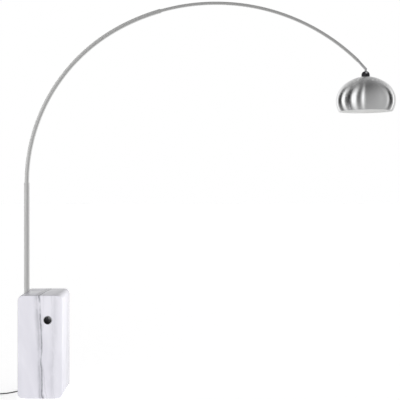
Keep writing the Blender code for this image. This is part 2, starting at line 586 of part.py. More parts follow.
# ---- the head ----
def build_knuckle():
    home = "head_swing_axis"
    steps = 10
    outline = []
    for i in range(steps):
        a = pi / 2 * i / steps
        outline.append((KNUCKLE_RADIUS * cos(a) ** KNUCKLE_FULLNESS,
                        KNUCKLE_BOTTOM + KNUCKLE_HEIGHT * sin(a) ** KNUCKLE_FULLNESS))
    outline += [(0, KNUCKLE_BOTTOM + KNUCKLE_HEIGHT), (0, KNUCKLE_BOTTOM)]
    knuckle = finish("head_knuckle", turned(outline, (SHADE_X, 0, 0), 36), "dark_chrome", home)
    half = TONGUE_THICKNESS / 2 + GAP
    cut(knuckle, box((SHADE_X - 0.04, -half, SLOT_FLOOR), (SHADE_X + 0.04, half, PIVOT_Z + 0.04)), parent=home)
    cut(knuckle, rod((SHADE_X, 0, KNUCKLE_BOTTOM - 0.01), (SHADE_X, 0, SLOT_FLOOR + 0.004),
                     NIPPLE_OUTER + 2 * GAP, 24), parent=home)
    cut(knuckle, rod(PIVOT - Vector((0, 0.04, 0)), PIVOT + Vector((0, 0.04, 0)), PIVOT_SCREW + 2 * GAP, 16),
        parent=home)
    tip, shank, head, seat = TIP_BORE / 2, PIVOT_SCREW / 2, PIVOT_HEAD / 2, PIVOT_SEAT + GAP
    for name, side in (("pivot_screw_front", -1), ("pivot_screw_rear", 1)):
        cut(knuckle, rod(PIVOT + Vector((0, side * PIVOT_SEAT, 0)), PIVOT + Vector((0, side * 0.04, 0)),
                         PIVOT_HEAD + 2 * GAP, 24), parent=home)
        outline = [(0, tip), (shank, tip), (shank, seat), (head, seat), (head, seat + 0.0026),
                   (head - 0.0010, seat + 0.0036), (0, seat + 0.0036)]
        finish(name, turned([(r, h * side) for r, h in outline], PIVOT, 20, "Y"), "chrome", home)

    nipple_low = HOLDER_TOP - 0.0075
    bore, outer = NIPPLE_BORE / 2, NIPPLE_OUTER / 2
    nipple = [(bore, nipple_low), (outer, nipple_low), (outer, SLOT_FLOOR - GAP), (bore, SLOT_FLOOR - GAP)]
    finish("threaded_nipple", turned(nipple, (SHADE_X, 0, 0), 20), "zinc_steel", home)
    lead = (SHADE_X, 0, HOLDER_TOP - 0.0105), (SHADE_X, 0, SLOT_FLOOR - 0.001)
    cable("head_cable", lead, LEAD_DIAMETER, "white_lead", home)


def ball_arc(radius, centre_z, start, end, steps):
    """Points on a ball about the shade's axis, from one distance off the axis to another."""
    a, b = asin(start / radius), asin(end / radius)
    angles = [a + (b - a) * i / steps for i in range(steps + 1)]
    return [(radius * sin(t), centre_z + radius * cos(t)) for t in angles]


def build_cap():
    home = "head_swing_axis"
    hole = NIPPLE_OUTER / 2 + GAP
    outer = ball_arc(CAP_BALL, BALL_Z, hole, CAP_RADIUS, 7)
    inner = ball_arc(CAP_BALL - CAP_WALL, BALL_Z, hole, CAP_RADIUS - 0.0004, 7)
    dome = turned(outer + inner[::-1], (0, 0, 0), 44)
    bmesh.ops.rotate(dome, cent=(0, 0, 0), matrix=Matrix.Rotation(radians(2.6), 3, "Z"), verts=dome.verts)
    bmesh.ops.translate(dome, vec=(SHADE_X, 0, 0), verts=dome.verts)
    cap = finish("perforated_cap", dome, "spun_aluminium", home)
    drills = bmesh.new()
    tilt = asin(CAP_HOLE_CIRCLE / CAP_BALL)
    for i in range(CAP_HOLES):
        a = 2 * pi * (i + 0.5) / CAP_HOLES
        aim = Matrix.Translation((SHADE_X, 0, BALL_Z)) @ Matrix.Rotation(a, 4, "Z") @ Matrix.Rotation(tilt, 4, "Y")
        bmesh.ops.create_cone(drills, cap_ends=True, segments=10, radius1=CAP_HOLE_DIAMETER / 2,
                              radius2=CAP_HOLE_DIAMETER / 2, depth=0.012,
                              matrix=aim @ Matrix.Translation((0, 0, CAP_BALL)) @ Matrix.Rotation(0.2, 4, "Z"))
    cut(cap, drills, parent=home)

    under = BALL_Z + sqrt((CAP_BALL - CAP_WALL) ** 2 - hole ** 2)
    washer_radius = 0.011
    washer_top = BALL_Z + sqrt((CAP_BALL - CAP_WALL) ** 2 - washer_radius ** 2) - GAP
    ring = [(hole, washer_top - 0.0012), (washer_radius, washer_top - 0.0012), (washer_radius, washer_top),
            (hole, washer_top)]
    finish("cap_washer", turned(ring, (SHADE_X, 0, 0), 24), "zinc_steel", home)
    nut_top = min(under, washer_top) - 0.0012 - GAP
    for name, top in (("cap_nut", nut_top), ("holder_nut", HOLDER_TOP - 0.002 - GAP)):
        nut = finish(name, rod((SHADE_X, 0, top - 0.0035), (SHADE_X, 0, top), 0.015 / cos(pi / 6), 6),
                     "zinc_steel", home)
        cut(nut, rod((SHADE_X, 0, top - 0.01), (SHADE_X, 0, top + 0.01), 2 * hole, 20), parent=home)


def build_lampholder():
    home = "head_swing_axis"
    hole = NIPPLE_OUTER / 2 + GAP
    inner = HOLDER_RADIUS - HOLDER_WALL
    shell = [(hole, HOLDER_TOP - 0.002), (inner, HOLDER_TOP - 0.002), (inner, HOLDER_BOTTOM),
             (HOLDER_RADIUS, HOLDER_BOTTOM), (HOLDER_RADIUS, HOLDER_TOP - 0.002),
             (HOLDER_RADIUS - 0.002, HOLDER_TOP), (hole, HOLDER_TOP)]
    finish("lampholder_shell", turned(shell, (SHADE_X, 0, 0), 32), "black_plastic", home)
    ring_inner, ring_outer = HOLDER_RADIUS + GAP, HOLDER_RADIUS + 0.0022
    ring = [(ring_inner, HOLDER_BOTTOM), (ring_outer, HOLDER_BOTTOM), (ring_outer, HOLDER_BOTTOM + 0.009),
            (ring_inner, HOLDER_BOTTOM + 0.009)]
    finish("lampholder_ring", turned(ring, (SHADE_X, 0, 0), 32), "black_plastic", home)
    body = inner - GAP
    top, seat = HOLDER_TOP - 0.012, BULB_CAP_RADIUS + GAP
    insert = [(0, top), (body, top), (body, HOLDER_BOTTOM + 0.004), (seat, HOLDER_BOTTOM + 0.004),
              (seat, top - 0.010), (0, top - 0.010)]
    finish("lampholder_insert", turned(insert, (SHADE_X, 0, 0), 32), "ceramic", home)
    cap_top = top - 0.010 - GAP
    cap_low = cap_top - 0.026
    cap = [(0, cap_top), (0.005, cap_top), (BULB_CAP_RADIUS, cap_top - 0.004), (BULB_CAP_RADIUS, cap_low),
           (0, cap_low)]
    finish("bulb_cap", turned(cap, (SHADE_X, 0, 0), 28), "brass", home)
    ball_z = BULB_BOTTOM + BULB_RADIUS
    neck_z = cap_low - GAP
    neck = BULB_CAP_RADIUS - 0.0005
    glass = [(0, neck_z), (neck, neck_z), (neck + 0.0004, neck_z - 0.006), (neck + 0.004, neck_z - 0.015)]
    start = radians(38)
    glass += [(BULB_RADIUS * cos(t), ball_z + BULB_RADIUS * sin(t))
              for t in [start - (start + pi / 2) * i / 11 for i in range(11)]]
    glass += [(0, BULB_BOTTOM)]
    finish("bulb_glass", turned(glass, (SHADE_X, 0, 0), 28), "opal_glass", home)


def build_reflector():
    outer = ball_arc(BALL_RADIUS, BALL_Z, SHADE_MOUTH, BALL_ZONE, 3)
    inner = ball_arc(BALL_RADIUS - SHADE_WALL, BALL_Z, SHADE_MOUTH, BALL_ZONE - SHADE_WALL / 2, 3)
    start = asin(ELLIPSE_FROM / SHADE_RADIUS)
    end = acos((SHADE_RIM - SHADE_EQUATOR) / SHADE_HALF_HEIGHT)
    steps = 10
    for i in range(steps + 1):
        t = start + (end - start) * i / steps
        for line, wall in ((outer, 0), (inner, SHADE_WALL)):
            line.append(((SHADE_RADIUS - wall) * sin(t), SHADE_EQUATOR + (SHADE_HALF_HEIGHT - wall) * cos(t)))
    shell = turned(outer + inner[::-1], (SHADE_X, 0, 0), 56)
    finish("reflector", shell, "spun_aluminium", "reflector_tilt_axis")


# ---- the mains cord, foot switch and plug ----
def turn_on_floor(bm, centre, angle):
    bmesh.ops.rotate(bm, cent=(0, 0, 0), matrix=Matrix.Rotation(radians(angle), 3, "Z"), verts=bm.verts)
    bmesh.ops.translate(bm, vec=(centre[0], centre[1], 0), verts=bm.verts)
    return bm


def switch_shape(length, width, low, high):
    radius = width / 2 - 0.0001
    return turn_on_floor(plate(rounded_outline(length / 2, width / 2, radius, 6), low, high),
                         SWITCH_CENTRE, SWITCH_TURN)


def build_foot_switch():
    inner_length, inner_width = SWITCH_LENGTH - 2 * SWITCH_WALL, SWITCH_WIDTH - 2 * SWITCH_WALL
    tray = finish("foot_switch_base", switch_shape(SWITCH_LENGTH, SWITCH_WIDTH, 0, SWITCH_TRAY), "black_plastic")
    cut(tray, switch_shape(inner_length, inner_width, SWITCH_WALL, SWITCH_TRAY + 0.01))
    cover = finish("foot_switch_cover", switch_shape(SWITCH_LENGTH, SWITCH_WIDTH, SWITCH_TRAY + GAP, SWITCH_HEIGHT),
                   "black_plastic")
    cut(cover, switch_shape(inner_length, inner_width, 0, SWITCH_HEIGHT - SWITCH_WALL))
    place = (*SWITCH_CENTRE, 0)
    cut(cover, turned([(0, 0), (BUTTON_RADIUS + GAP, 0), (BUTTON_RADIUS + GAP, 0.05), (0, 0.05)], place, 28))
    flange_top = SWITCH_HEIGHT - SWITCH_WALL - GAP
    flange_low = flange_top - 0.002
    flange = BUTTON_RADIUS + 0.0018
    button = [(0, flange_low), (flange, flange_low), (flange, flange_top), (BUTTON_RADIUS, flange_top),
              (BUTTON_RADIUS, BUTTON_TOP - 0.0015), (BUTTON_RADIUS - 0.0012, BUTTON_TOP), (0, BUTTON_TOP)]
    finish("foot_switch_button", turned(button, place, 28), "black_plastic", "foot_switch_press_axis")
    block_top = flange_low - BUTTON_TRAVEL - 2 * GAP
    block = turn_on_floor(box((-0.016, -0.010, SWITCH_WALL + GAP), (0.016, 0.010, block_top)),
                          SWITCH_CENTRE, SWITCH_TURN)
    finish("switch_contact_block", block, "ceramic")


def build_cord():
    cable("cord_to_switch", CORD_TO_SWITCH, CORD_DIAMETER, "black_rubber")
    cable("cord_to_coil", CORD_TO_COIL, CORD_DIAMETER, "black_rubber")
    cable("cord_to_plug", CORD_TO_PLUG, CORD_DIAMETER, "black_rubber")
    low, high = COIL_MEAN_RADIUS - COIL_WIDTH / 2, COIL_MEAN_RADIUS + COIL_WIDTH / 2
    mid, edge = COIL_HEIGHT / 2, 0.003
    ring = [(low + edge, 0), (high - edge, 0), (high, edge), (high, 2 * mid - edge), (high - edge, 2 * mid),
            (low + edge, 2 * mid), (low, 2 * mid - edge), (low, edge)]
    finish("cord_coil", turned(ring, (*COIL_CENTRE, 0), 36), "black_rubber")

    # the plug: a flat body with a tapered tail, and two round pins
    half, thick = PLUG_WIDTH / 2, PLUG_THICKNESS / 2
    body = plate([(PLUG_LENGTH, -half), (PLUG_LENGTH, half), (0.010, half), (0.002, half * 0.62), (-PLUG_TAIL, 0.0050),
                  (-PLUG_TAIL, -0.0050), (0.002, -half * 0.62), (0.010, -half)], 0.0001, PLUG_THICKNESS)
    long_edges = [e for e in body.edges if abs(e.verts[0].co.z - e.verts[1].co.z) < 0.00001]
    bmesh.ops.bevel(body, geom=long_edges, offset=0.0025, segments=2, profile=0.5, affect="EDGES")
    bmesh.ops.translate(body, vec=(PLUG_POINT[0], PLUG_POINT[1], 0), verts=body.verts)
    finish("plug_body", body, "black_plastic")
    for name, side in (("plug_pin_left", 1), ("plug_pin_right", -1)):
        start = Vector((PLUG_POINT[0] + PLUG_LENGTH + GAP, PLUG_POINT[1] + side * PIN_SPACING / 2, thick))
        finish(name, rod(start, start + Vector((PIN_LENGTH, 0, 0)), PIN_DIAMETER, 14), "brass")


make_empty("stem_height_axis", (POST_X, 0, POST_TOP))
make_empty("arc_extension_axis", UPPER_CENTRE, "stem_height_axis")
make_empty("head_swing_axis", PIVOT, "arc_extension_axis")
make_empty("reflector_tilt_axis", (SHADE_X, 0, BALL_Z), "head_swing_axis")
make_empty("foot_switch_press_axis", (*SWITCH_CENTRE, 0))
build_base()
build_post()
build_cable_entry()
build_lower_arc()
build_upper_arc()
build_knuckle()
build_cap()
build_lampholder()
build_reflector()
build_foot_switch()
build_cord()
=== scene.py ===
import json
from math import asin, atan2, cos, hypot, pi, radians, sin, sqrt

import bmesh
import bpy
from mathutils import Matrix, Vector


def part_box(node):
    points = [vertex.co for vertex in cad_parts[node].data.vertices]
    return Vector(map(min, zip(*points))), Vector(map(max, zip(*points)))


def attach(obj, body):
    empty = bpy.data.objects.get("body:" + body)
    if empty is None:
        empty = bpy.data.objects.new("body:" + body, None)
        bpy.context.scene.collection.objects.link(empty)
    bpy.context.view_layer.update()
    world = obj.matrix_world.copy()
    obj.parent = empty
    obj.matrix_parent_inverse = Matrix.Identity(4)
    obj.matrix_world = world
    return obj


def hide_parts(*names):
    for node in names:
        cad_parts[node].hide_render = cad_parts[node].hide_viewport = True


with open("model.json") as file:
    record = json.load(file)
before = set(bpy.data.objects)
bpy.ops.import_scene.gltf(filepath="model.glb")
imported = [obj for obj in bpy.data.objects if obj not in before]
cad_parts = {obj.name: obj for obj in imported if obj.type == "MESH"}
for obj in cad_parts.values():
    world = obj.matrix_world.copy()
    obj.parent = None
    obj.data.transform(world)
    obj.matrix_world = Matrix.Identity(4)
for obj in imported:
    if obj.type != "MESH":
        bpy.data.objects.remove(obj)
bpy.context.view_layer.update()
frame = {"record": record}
record = frame["record"]
joints = {j["name"]: Vector(j["pos_m"]) for j in record["behaviour"]["joints"] if "pos_m" in j}
bodyOf = {cad: body for body, cads in record["behaviour"]["bodies"].items() for cad in cads}
origin = Vector((0, 0, 0))


# ---------- small helpers ----------

def spot(node):
    # middle, size and lowest corner of a CAD node
    low, high = [Vector(c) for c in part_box(node)]
    return (low + high) / 2, high - low, low


def newObject(name, data):
    made = bpy.data.objects.new(name, data)
    bpy.context.scene.collection.objects.link(made)
    return made


def toMesh(name, bm):
    mesh = bpy.data.meshes.new(name)
    bm.to_mesh(mesh)
    bm.free()
    return mesh


def declare(piece, likeNode, replaced):
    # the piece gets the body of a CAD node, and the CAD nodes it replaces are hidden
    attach(piece, bodyOf[likeNode])
    if replaced:
        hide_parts(*replaced)
    return piece


def addPiece(name, bm, finish, likeNode, replaced, smooth, second=None):
    # faces with material index 1 take the second finish
    mesh = toMesh(name, bm)
    mesh.materials.append(finishes[finish])
    if second:
        mesh.materials.append(finishes[second])
    mesh.shade_smooth()
    mesh.set_sharp_from_angle(angle=radians(smooth))
    return declare(newObject(name, mesh), likeNode, replaced)


def standIn(cad, bm, finish, smooth=35, second=None, name=None):
    # a piece that takes the place of one CAD node, and its name in camel case unless another is given
    first, *others = cad.split("_")
    addPiece(name or first + "".join(word.capitalize() for word in others), bm, finish, cad, [cad], smooth, second)


def move(bm, vec, verts=None):
    bmesh.ops.translate(bm, vec=vec, verts=verts or bm.verts)


def turn(bm, angle, axis, centre=origin, verts=None):
    bmesh.ops.rotate(bm, cent=centre, matrix=Matrix.Rotation(angle, 3, axis), verts=verts or bm.verts)


def bevel(bm, geom, offset, segments, affect="EDGES"):
    bmesh.ops.bevel(bm, geom=geom, offset=offset, offset_type="OFFSET", segments=segments, profile=0.5,
                    affect=affect, material=-1)


def tidyNormals(bm):
    bmesh.ops.recalc_face_normals(bm, faces=bm.faces)


def extrude(bm, faces):
    # new faces and new verts of a copy that is still joined to the old faces
    new = bmesh.ops.extrude_face_region(bm, geom=faces)["geom"]
    return [[g for g in new if isinstance(g, kind)] for kind in (bmesh.types.BMFace, bmesh.types.BMVert)]


def edgesAlong(bm, axis, length):
    return [e for e in bm.edges if abs(e.verts[0].co[axis] - e.verts[1].co[axis]) > length]


def edgesAcross(bm, axis):
    return [e for e in bm.edges if abs(e.verts[0].co[axis] - e.verts[1].co[axis]) < 1e-5]


def quarter(r, h, radius, steps, start=0.0):
    # (radius, height) points of a quarter circle round a middle
    angles = [start + pi / 2 * i / steps for i in range(steps + 1)]
    return [(r + radius * cos(a), h + radius * sin(a)) for a in angles]


def lathe(outline, centre, steps=64, axis="Z"):
    # spins (radius, height) points about an axis through centre
    bm = bmesh.new()
    verts = [bm.verts.new((r, 0, h)) for r, h in outline]
    pairs = zip(verts, verts[1:] + verts[:1])
    edges = [bm.edges.new(p) for p in pairs if p[0].co.x > 1e-7 or p[1].co.x > 1e-7]
    bmesh.ops.spin(bm, geom=verts + edges, cent=(0, 0, 0), axis=(0, 0, 1), dvec=(0, 0, 0),
                   angle=2 * pi, steps=steps, use_merge=True)
    bmesh.ops.remove_doubles(bm, verts=bm.verts, dist=1e-6)
    tidyNormals(bm)
    if axis == "Y":
        turn(bm, -pi / 2, "X")
    if axis == "X":
        turn(bm, pi / 2, "Y")
    move(bm, centre)
    return bm


def block(low, high, edge=0):
    low, high = Vector(low), Vector(high)
    bm = bmesh.new()
    bmesh.ops.create_cube(bm, size=1)
    bmesh.ops.scale(bm, vec=high - low, verts=bm.verts)
    move(bm, (high + low) / 2)
    if edge:
        bevel(bm, bm.edges[:], edge, 2)
    return bm


def addRod(bm, radius, length, sides, matrix):
    bmesh.ops.create_cone(bm, cap_ends=True, segments=sides, radius1=radius, radius2=radius, depth=length,
                          matrix=matrix)


def cylinder(start, end, radius, sides=32):
    start, end = Vector(start), Vector(end)
    along = end - start
    bm = bmesh.new()
    addRod(bm, radius, along.length, sides,
           Matrix.Translation((start + end) / 2) @ along.to_track_quat("Z", "Y").to_matrix().to_4x4())
    return bm


def crossBore(node, start, end, radius, sides=32):
    # a cutter along Y through the middle of a CAD node
    middle = spot(node)[0]
    return cylinder((middle.x, start, middle.z), (middle.x, end, middle.z), radius, sides)


def carve(bm, cutters, operation="DIFFERENCE"):
    # cuts shapes out of a bmesh, or joins them to it, and gives back the result
    work = newObject("carved", toMesh("carved", bm))
    helpers = [work]
    for cutter in cutters:
        helper = newObject("cutter", toMesh("cutter", cutter))
        helpers.append(helper)
        step = work.modifiers.new("cut", "BOOLEAN")
        step.operation = operation
        step.object = helper
    view = bpy.context.evaluated_depsgraph_get()
    result = bmesh.new()
    result.from_mesh(work.evaluated_get(view).to_mesh())
    for helper in helpers:
        bpy.data.objects.remove(helper, do_unlink=True)
    return result


def ease(t):
    t = min(max(t, 0.0), 1.0)
    return t * t * (3 - 2 * t)


def smoothLine(points, step):
    # points on a Catmull-Rom curve through a route, about one step apart
    knots = [Vector(p) for p in points]
    ends = [2 * knots[0] - knots[1]] + knots + [2 * knots[-1] - knots[-2]]
    line = []
    for i in range(1, len(ends) - 2):
        a, b, c, d = ends[i - 1:i + 3]
        count = max(1, round((c - b).length / step))
        for k in range(count):
            t = k / count
            line.append(0.5 * (2 * b + (c - a) * t + (2 * a - 5 * b + 4 * c - d) * t ** 2
                               + (3 * b - a - 3 * c + d) * t ** 3))
    return line + [knots[-1]]


def lineLength(line):
    return sum((b - a).length for a, b in zip(line, line[1:]))


# ---------- camera ----------

cameraSetup = {"place": (0.8566, -3.4375, 1.28), "lens": 56.25, "sensor": 36, "shiftY": -0.1, "reach": 60}


def makeCamera():
    data = bpy.data.cameras.new("camera")
    data.lens = cameraSetup["lens"]
    data.sensor_width = cameraSetup["sensor"]
    data.shift_y = cameraSetup["shiftY"]
    data.clip_end = cameraSetup["reach"]
    camera = newObject("camera", data)
    camera.location = cameraSetup["place"]
    camera.rotation_euler = (pi / 2, 0, 0)
    bpy.context.scene.camera = camera


makeCamera()
print("camera ready")


# ---------- shader building ----------

def treeOf(*values):
    # the node tree that the first linked value belongs to
    return next(v.id_data for v in values if isinstance(v, bpy.types.NodeSocket))


def put(socket, value):
    # a socket takes a constant or the output of another node
    if isinstance(value, bpy.types.NodeSocket):
        socket.id_data.links.new(value, socket)
    else:
        socket.default_value = value


def setIn(made, **values):
    for key, value in values.items():
        put(made.inputs[key.replace("_", " ")], value)
    return made


def node(tree, kind, **settings):
    made = tree.nodes.new("ShaderNode" + kind)
    for key, value in settings.items():
        setattr(made, key, value)
    return made


def calc(operation, a, b=None, clamp=False):
    made = node(treeOf(a, b), "Math", operation=operation, use_clamp=clamp)
    put(made.inputs[0], a)
    if b is not None:
        put(made.inputs[1], b)
    return made.outputs[0]


def plus(a, b):
    return calc("ADD", a, b)


def minus(a, b):
    return calc("SUBTRACT", a, b)


def times(a, b):
    return calc("MULTIPLY", a, b)


def split(vector):
    made = node(vector.id_data, "SeparateXYZ")
    put(made.inputs[0], vector)
    return list(made.outputs)


def combine(*values):
    made = node(treeOf(*values), "CombineXYZ")
    for socket, value in zip(made.inputs, values):
        put(socket, value)
    return made.outputs[0]


def blend(amount, first, second, mode="MIX"):
    mixer = node(treeOf(amount, first, second), "Mix", data_type="RGBA", blend_type=mode)
    for i, value in ((0, amount), (6, first), (7, second)):
        put(mixer.inputs[i], value)
    return mixer.outputs[2]


def ramp(value, stops):
    # grey levels at places from 0 to 1
    made = node(value.id_data, "ValToRGB")
    bar = made.color_ramp
    while len(bar.elements) < len(stops):
        bar.elements.new(0.5)
    for element, (place, level) in zip(bar.elements, stops):
        element.position = place
        element.color = (level, level, level, 1)
    return setIn(made, Fac=value).outputs["Color"]


def noise(vector, scale, detail=3.0, roughness=0.5, distortion=0.0):
    return setIn(node(vector.id_data, "TexNoise"), Vector=vector, Scale=scale, Detail=detail, Roughness=roughness,
                 Distortion=distortion).outputs["Fac"]


def newGroup(name, inputs):
    # a shared relief effect: from a vector and numbers to a height and a roughness
    tree = bpy.data.node_groups.new(name, "ShaderNodeTree")
    tree.interface.new_socket("Vector", in_out="INPUT", socket_type="NodeSocketVector")
    for label, value in inputs.items():
        tree.interface.new_socket(label, in_out="INPUT", socket_type="NodeSocketFloat").default_value = value
    for label in ("Height", "Roughness"):
        tree.interface.new_socket(label, in_out="OUTPUT", socket_type="NodeSocketFloat")
    return tree, tree.nodes.new("NodeGroupInput").outputs


def endGroup(tree, inside, fine, share, broad):
    # the fine relief goes out as height, and roughness swings with it and with broad smudges
    mixed = plus(times(fine, share), times(broad, 1 - share))
    swing = times(minus(mixed, 0.5), inside["Spread"])
    roughness = plus(inside["Roughness"], times(swing, 2.0))
    setIn(tree.nodes.new("NodeGroupOutput"), Height=fine, Roughness=roughness)
    return tree


def makeGrainGroup():
    # fine pits of moulded, cast or enamelled surfaces
    tree, inside = newGroup("fineGrain", {"Scale": 900.0, "Roughness": 0.3, "Spread": 0.06})
    fine = noise(inside["Vector"], inside["Scale"], 3.0, 0.6)
    return endGroup(tree, inside, fine, 0.5, noise(inside["Vector"], 9.0, 4.0))


def makeBrushGroup():
    # lines that run along the vector's first part
    tree, inside = newGroup("brushedLines", {"Along": 6.0, "Across": 2500.0, "Roughness": 0.3, "Spread": 0.08})
    x, y, z = split(inside["Vector"])
    stretched = combine(times(x, inside["Along"]), times(y, inside["Across"]), times(z, inside["Across"]))
    lines = noise(stretched, 1.0, 2.0, 0.6)
    return endGroup(tree, inside, lines, 0.6, noise(inside["Vector"], 7.0))


grainGroup = makeGrainGroup()
brushGroup = makeBrushGroup()


def solid(colour):
    return (*colour, 1)


def startMaterial(name, look):
    made = bpy.data.materials.new(name)
    made.use_nodes = True
    tree = made.node_tree
    shader = tree.nodes["Principled BSDF"]
    setIn(shader, Base_Color=solid(look["colour"]), Metallic=look.get("metallic", 0.0))
    for key in ("IOR", "Coat Weight", "Sheen Weight", "Subsurface Weight", "Anisotropic"):
        if key in look:
            shader.inputs[key].default_value = look[key]
    return made, tree, shader, node(tree, "TexCoord").outputs["Object"]


def addRelief(tree, shader, group, strength, depth, **values):
    relief = setIn(node(tree, "Group", node_tree=group), **values)
    bump = setIn(node(tree, "Bump"), Strength=strength, Distance=depth, Height=relief.outputs["Height"])
    setIn(shader, Normal=bump.outputs["Normal"], Roughness=relief.outputs["Roughness"])


def grainMaterial(name, look):
    made, tree, shader, coords = startMaterial(name, look)
    addRelief(tree, shader, grainGroup, look["bump"], look.get("relief", 0.0001), Vector=coords,
              Scale=look["grain"], Roughness=look["roughness"], Spread=look.get("spread", 0.06))
    if "tint" in look:
        cloud = noise(coords, look.get("tintScale", 30.0), 4.0)
        setIn(shader, Base_Color=blend(cloud, solid(look["colour"]), solid(look["tint"])))
    return made


def polar(tree, coords, centre, across):
    # turns places into (angle, radius, third) about a centre, in the plane across an axis
    shift = node(tree, "VectorMath", operation="SUBTRACT")
    put(shift.inputs[0], coords)
    put(shift.inputs[1], centre)
    x, y, z = split(shift.outputs[0])
    a, b, c = (x, z, y) if across == "Y" else (x, y, z)
    radius = calc("SQRT", plus(times(a, a), times(b, b)))
    return combine(calc("ARCTAN2", b, a), radius, c)


def brushedMaterial(name, look):
    # lines run round a centre, or upright where there is none
    made, tree, shader, coords = startMaterial(name, look)
    if "centre" in look:
        vector = polar(tree, coords, look["centre"], look["across"])
    else:
        x, y, z = split(coords)
        vector = combine(z, x, y)
    addRelief(tree, shader, brushGroup, look["bump"], look["relief"], Vector=vector, Along=look["along"],
              Across=look["lines"], Roughness=look["roughness"], Spread=look["spread"])
    if "Anisotropic" in look:
        # turning marks run round the axis, so light is spread up and down across them
        tangent = node(tree, "Tangent", direction_type="RADIAL", axis="Z").outputs[0]
        setIn(shader, Tangent=tangent, Anisotropic_Rotation=0.25)
    return made


# ---------- marble ----------

marbleLook = {
    "colour": (0.8, 0.79, 0.835), "roughness": 0.16, "IOR": 1.5, "grain": 420.0, "spread": 0.05, "bump": 0.05,
    "vein": (0.33, 0.33, 0.37), "cloud": (0.8, 0.79, 0.86), "pale": (0.9, 0.89, 0.955),
    "stretch": (1.0, 1.0, 0.42), "sway": 0.044, "tremble": 0.015, "fade": 1.5,
    "patchGain": 4.0, "patchFloor": 1.1, "middleHeight": 0.28, "paleRise": 0.5,
}
# (where it crosses the floor, lean with height, slope with depth, width, depth of tone)
marbleSheets = [
    (0.027, -0.039, 0.1, 0.009, 1.25), (0.015, -0.043, 0.1, 0.024, 0.55), (-0.012, 0.03, -0.12, 0.007, 0.22),
    (0.078, 0.03, 0.16, 0.034, 0.24), (0.066, -0.11, 0.3, 0.006, 0.26), (0.116, -0.03, 0.42, 0.006, 0.3),
    (-0.104, 0.06, 0.55, 0.008, 0.2),
]


def veinMask(parts, wobble, base, lean, slope, width):
    # a thin sheet of darker stone: 1 on the sheet, 0 away from it
    line = plus(times(parts[2], lean), times(parts[1], slope))
    offset = minus(minus(parts[0], line), base)
    away = calc("ABSOLUTE", plus(offset, wobble))
    return calc("SUBTRACT", 1.0, calc("DIVIDE", away, width), clamp=True)


def marbleMaterial():
    look = marbleLook
    made, tree, shader, coords = startMaterial("polishedMarble", look)
    parts = split(coords)
    stretched = setIn(node(tree, "Mapping"), Scale=look["stretch"], Vector=coords).outputs[0]
    slow = noise(stretched, 9.0, 4.0, 0.62)
    quick = noise(stretched, 34.0, 4.0, 0.65)
    broad = noise(stretched, 5.0, 3.0, 0.5, 0.6)
    patches = noise(stretched, 24.0, 3.0, 0.55)
    wobble = plus(times(minus(slow, 0.5), look["sway"]), times(minus(quick, 0.5), look["tremble"]))
    patchy = calc("SUBTRACT", times(patches, look["patchGain"]), look["patchFloor"], clamp=True)
    total = None
    for *sheet, tone in marbleSheets:
        mask = calc("POWER", veinMask(parts, wobble, *sheet), look["fade"])
        mask = times(times(mask, patchy), tone)
        total = mask if total is None else calc("MAXIMUM", total, mask)
    # the stone is paler towards the top, as well as in broad clouds
    height = times(minus(parts[2], look["middleHeight"]), look["paleRise"])
    paleness = ramp(plus(broad, height), [(0.36, 0.0), (0.56, 1.0)])
    cloudsPalerUpwards = blend(paleness, solid(look["cloud"]), solid(look["pale"]))
    veined = calc("MULTIPLY", total, 1.0, clamp=True)
    setIn(shader, Base_Color=blend(veined, cloudsPalerUpwards, solid(look["vein"])))
    addRelief(tree, shader, grainGroup, look["bump"], 0.0001, Vector=coords, Scale=look["grain"],
              Roughness=look["roughness"], Spread=look["spread"])
    return made


# ---------- finishes ----------

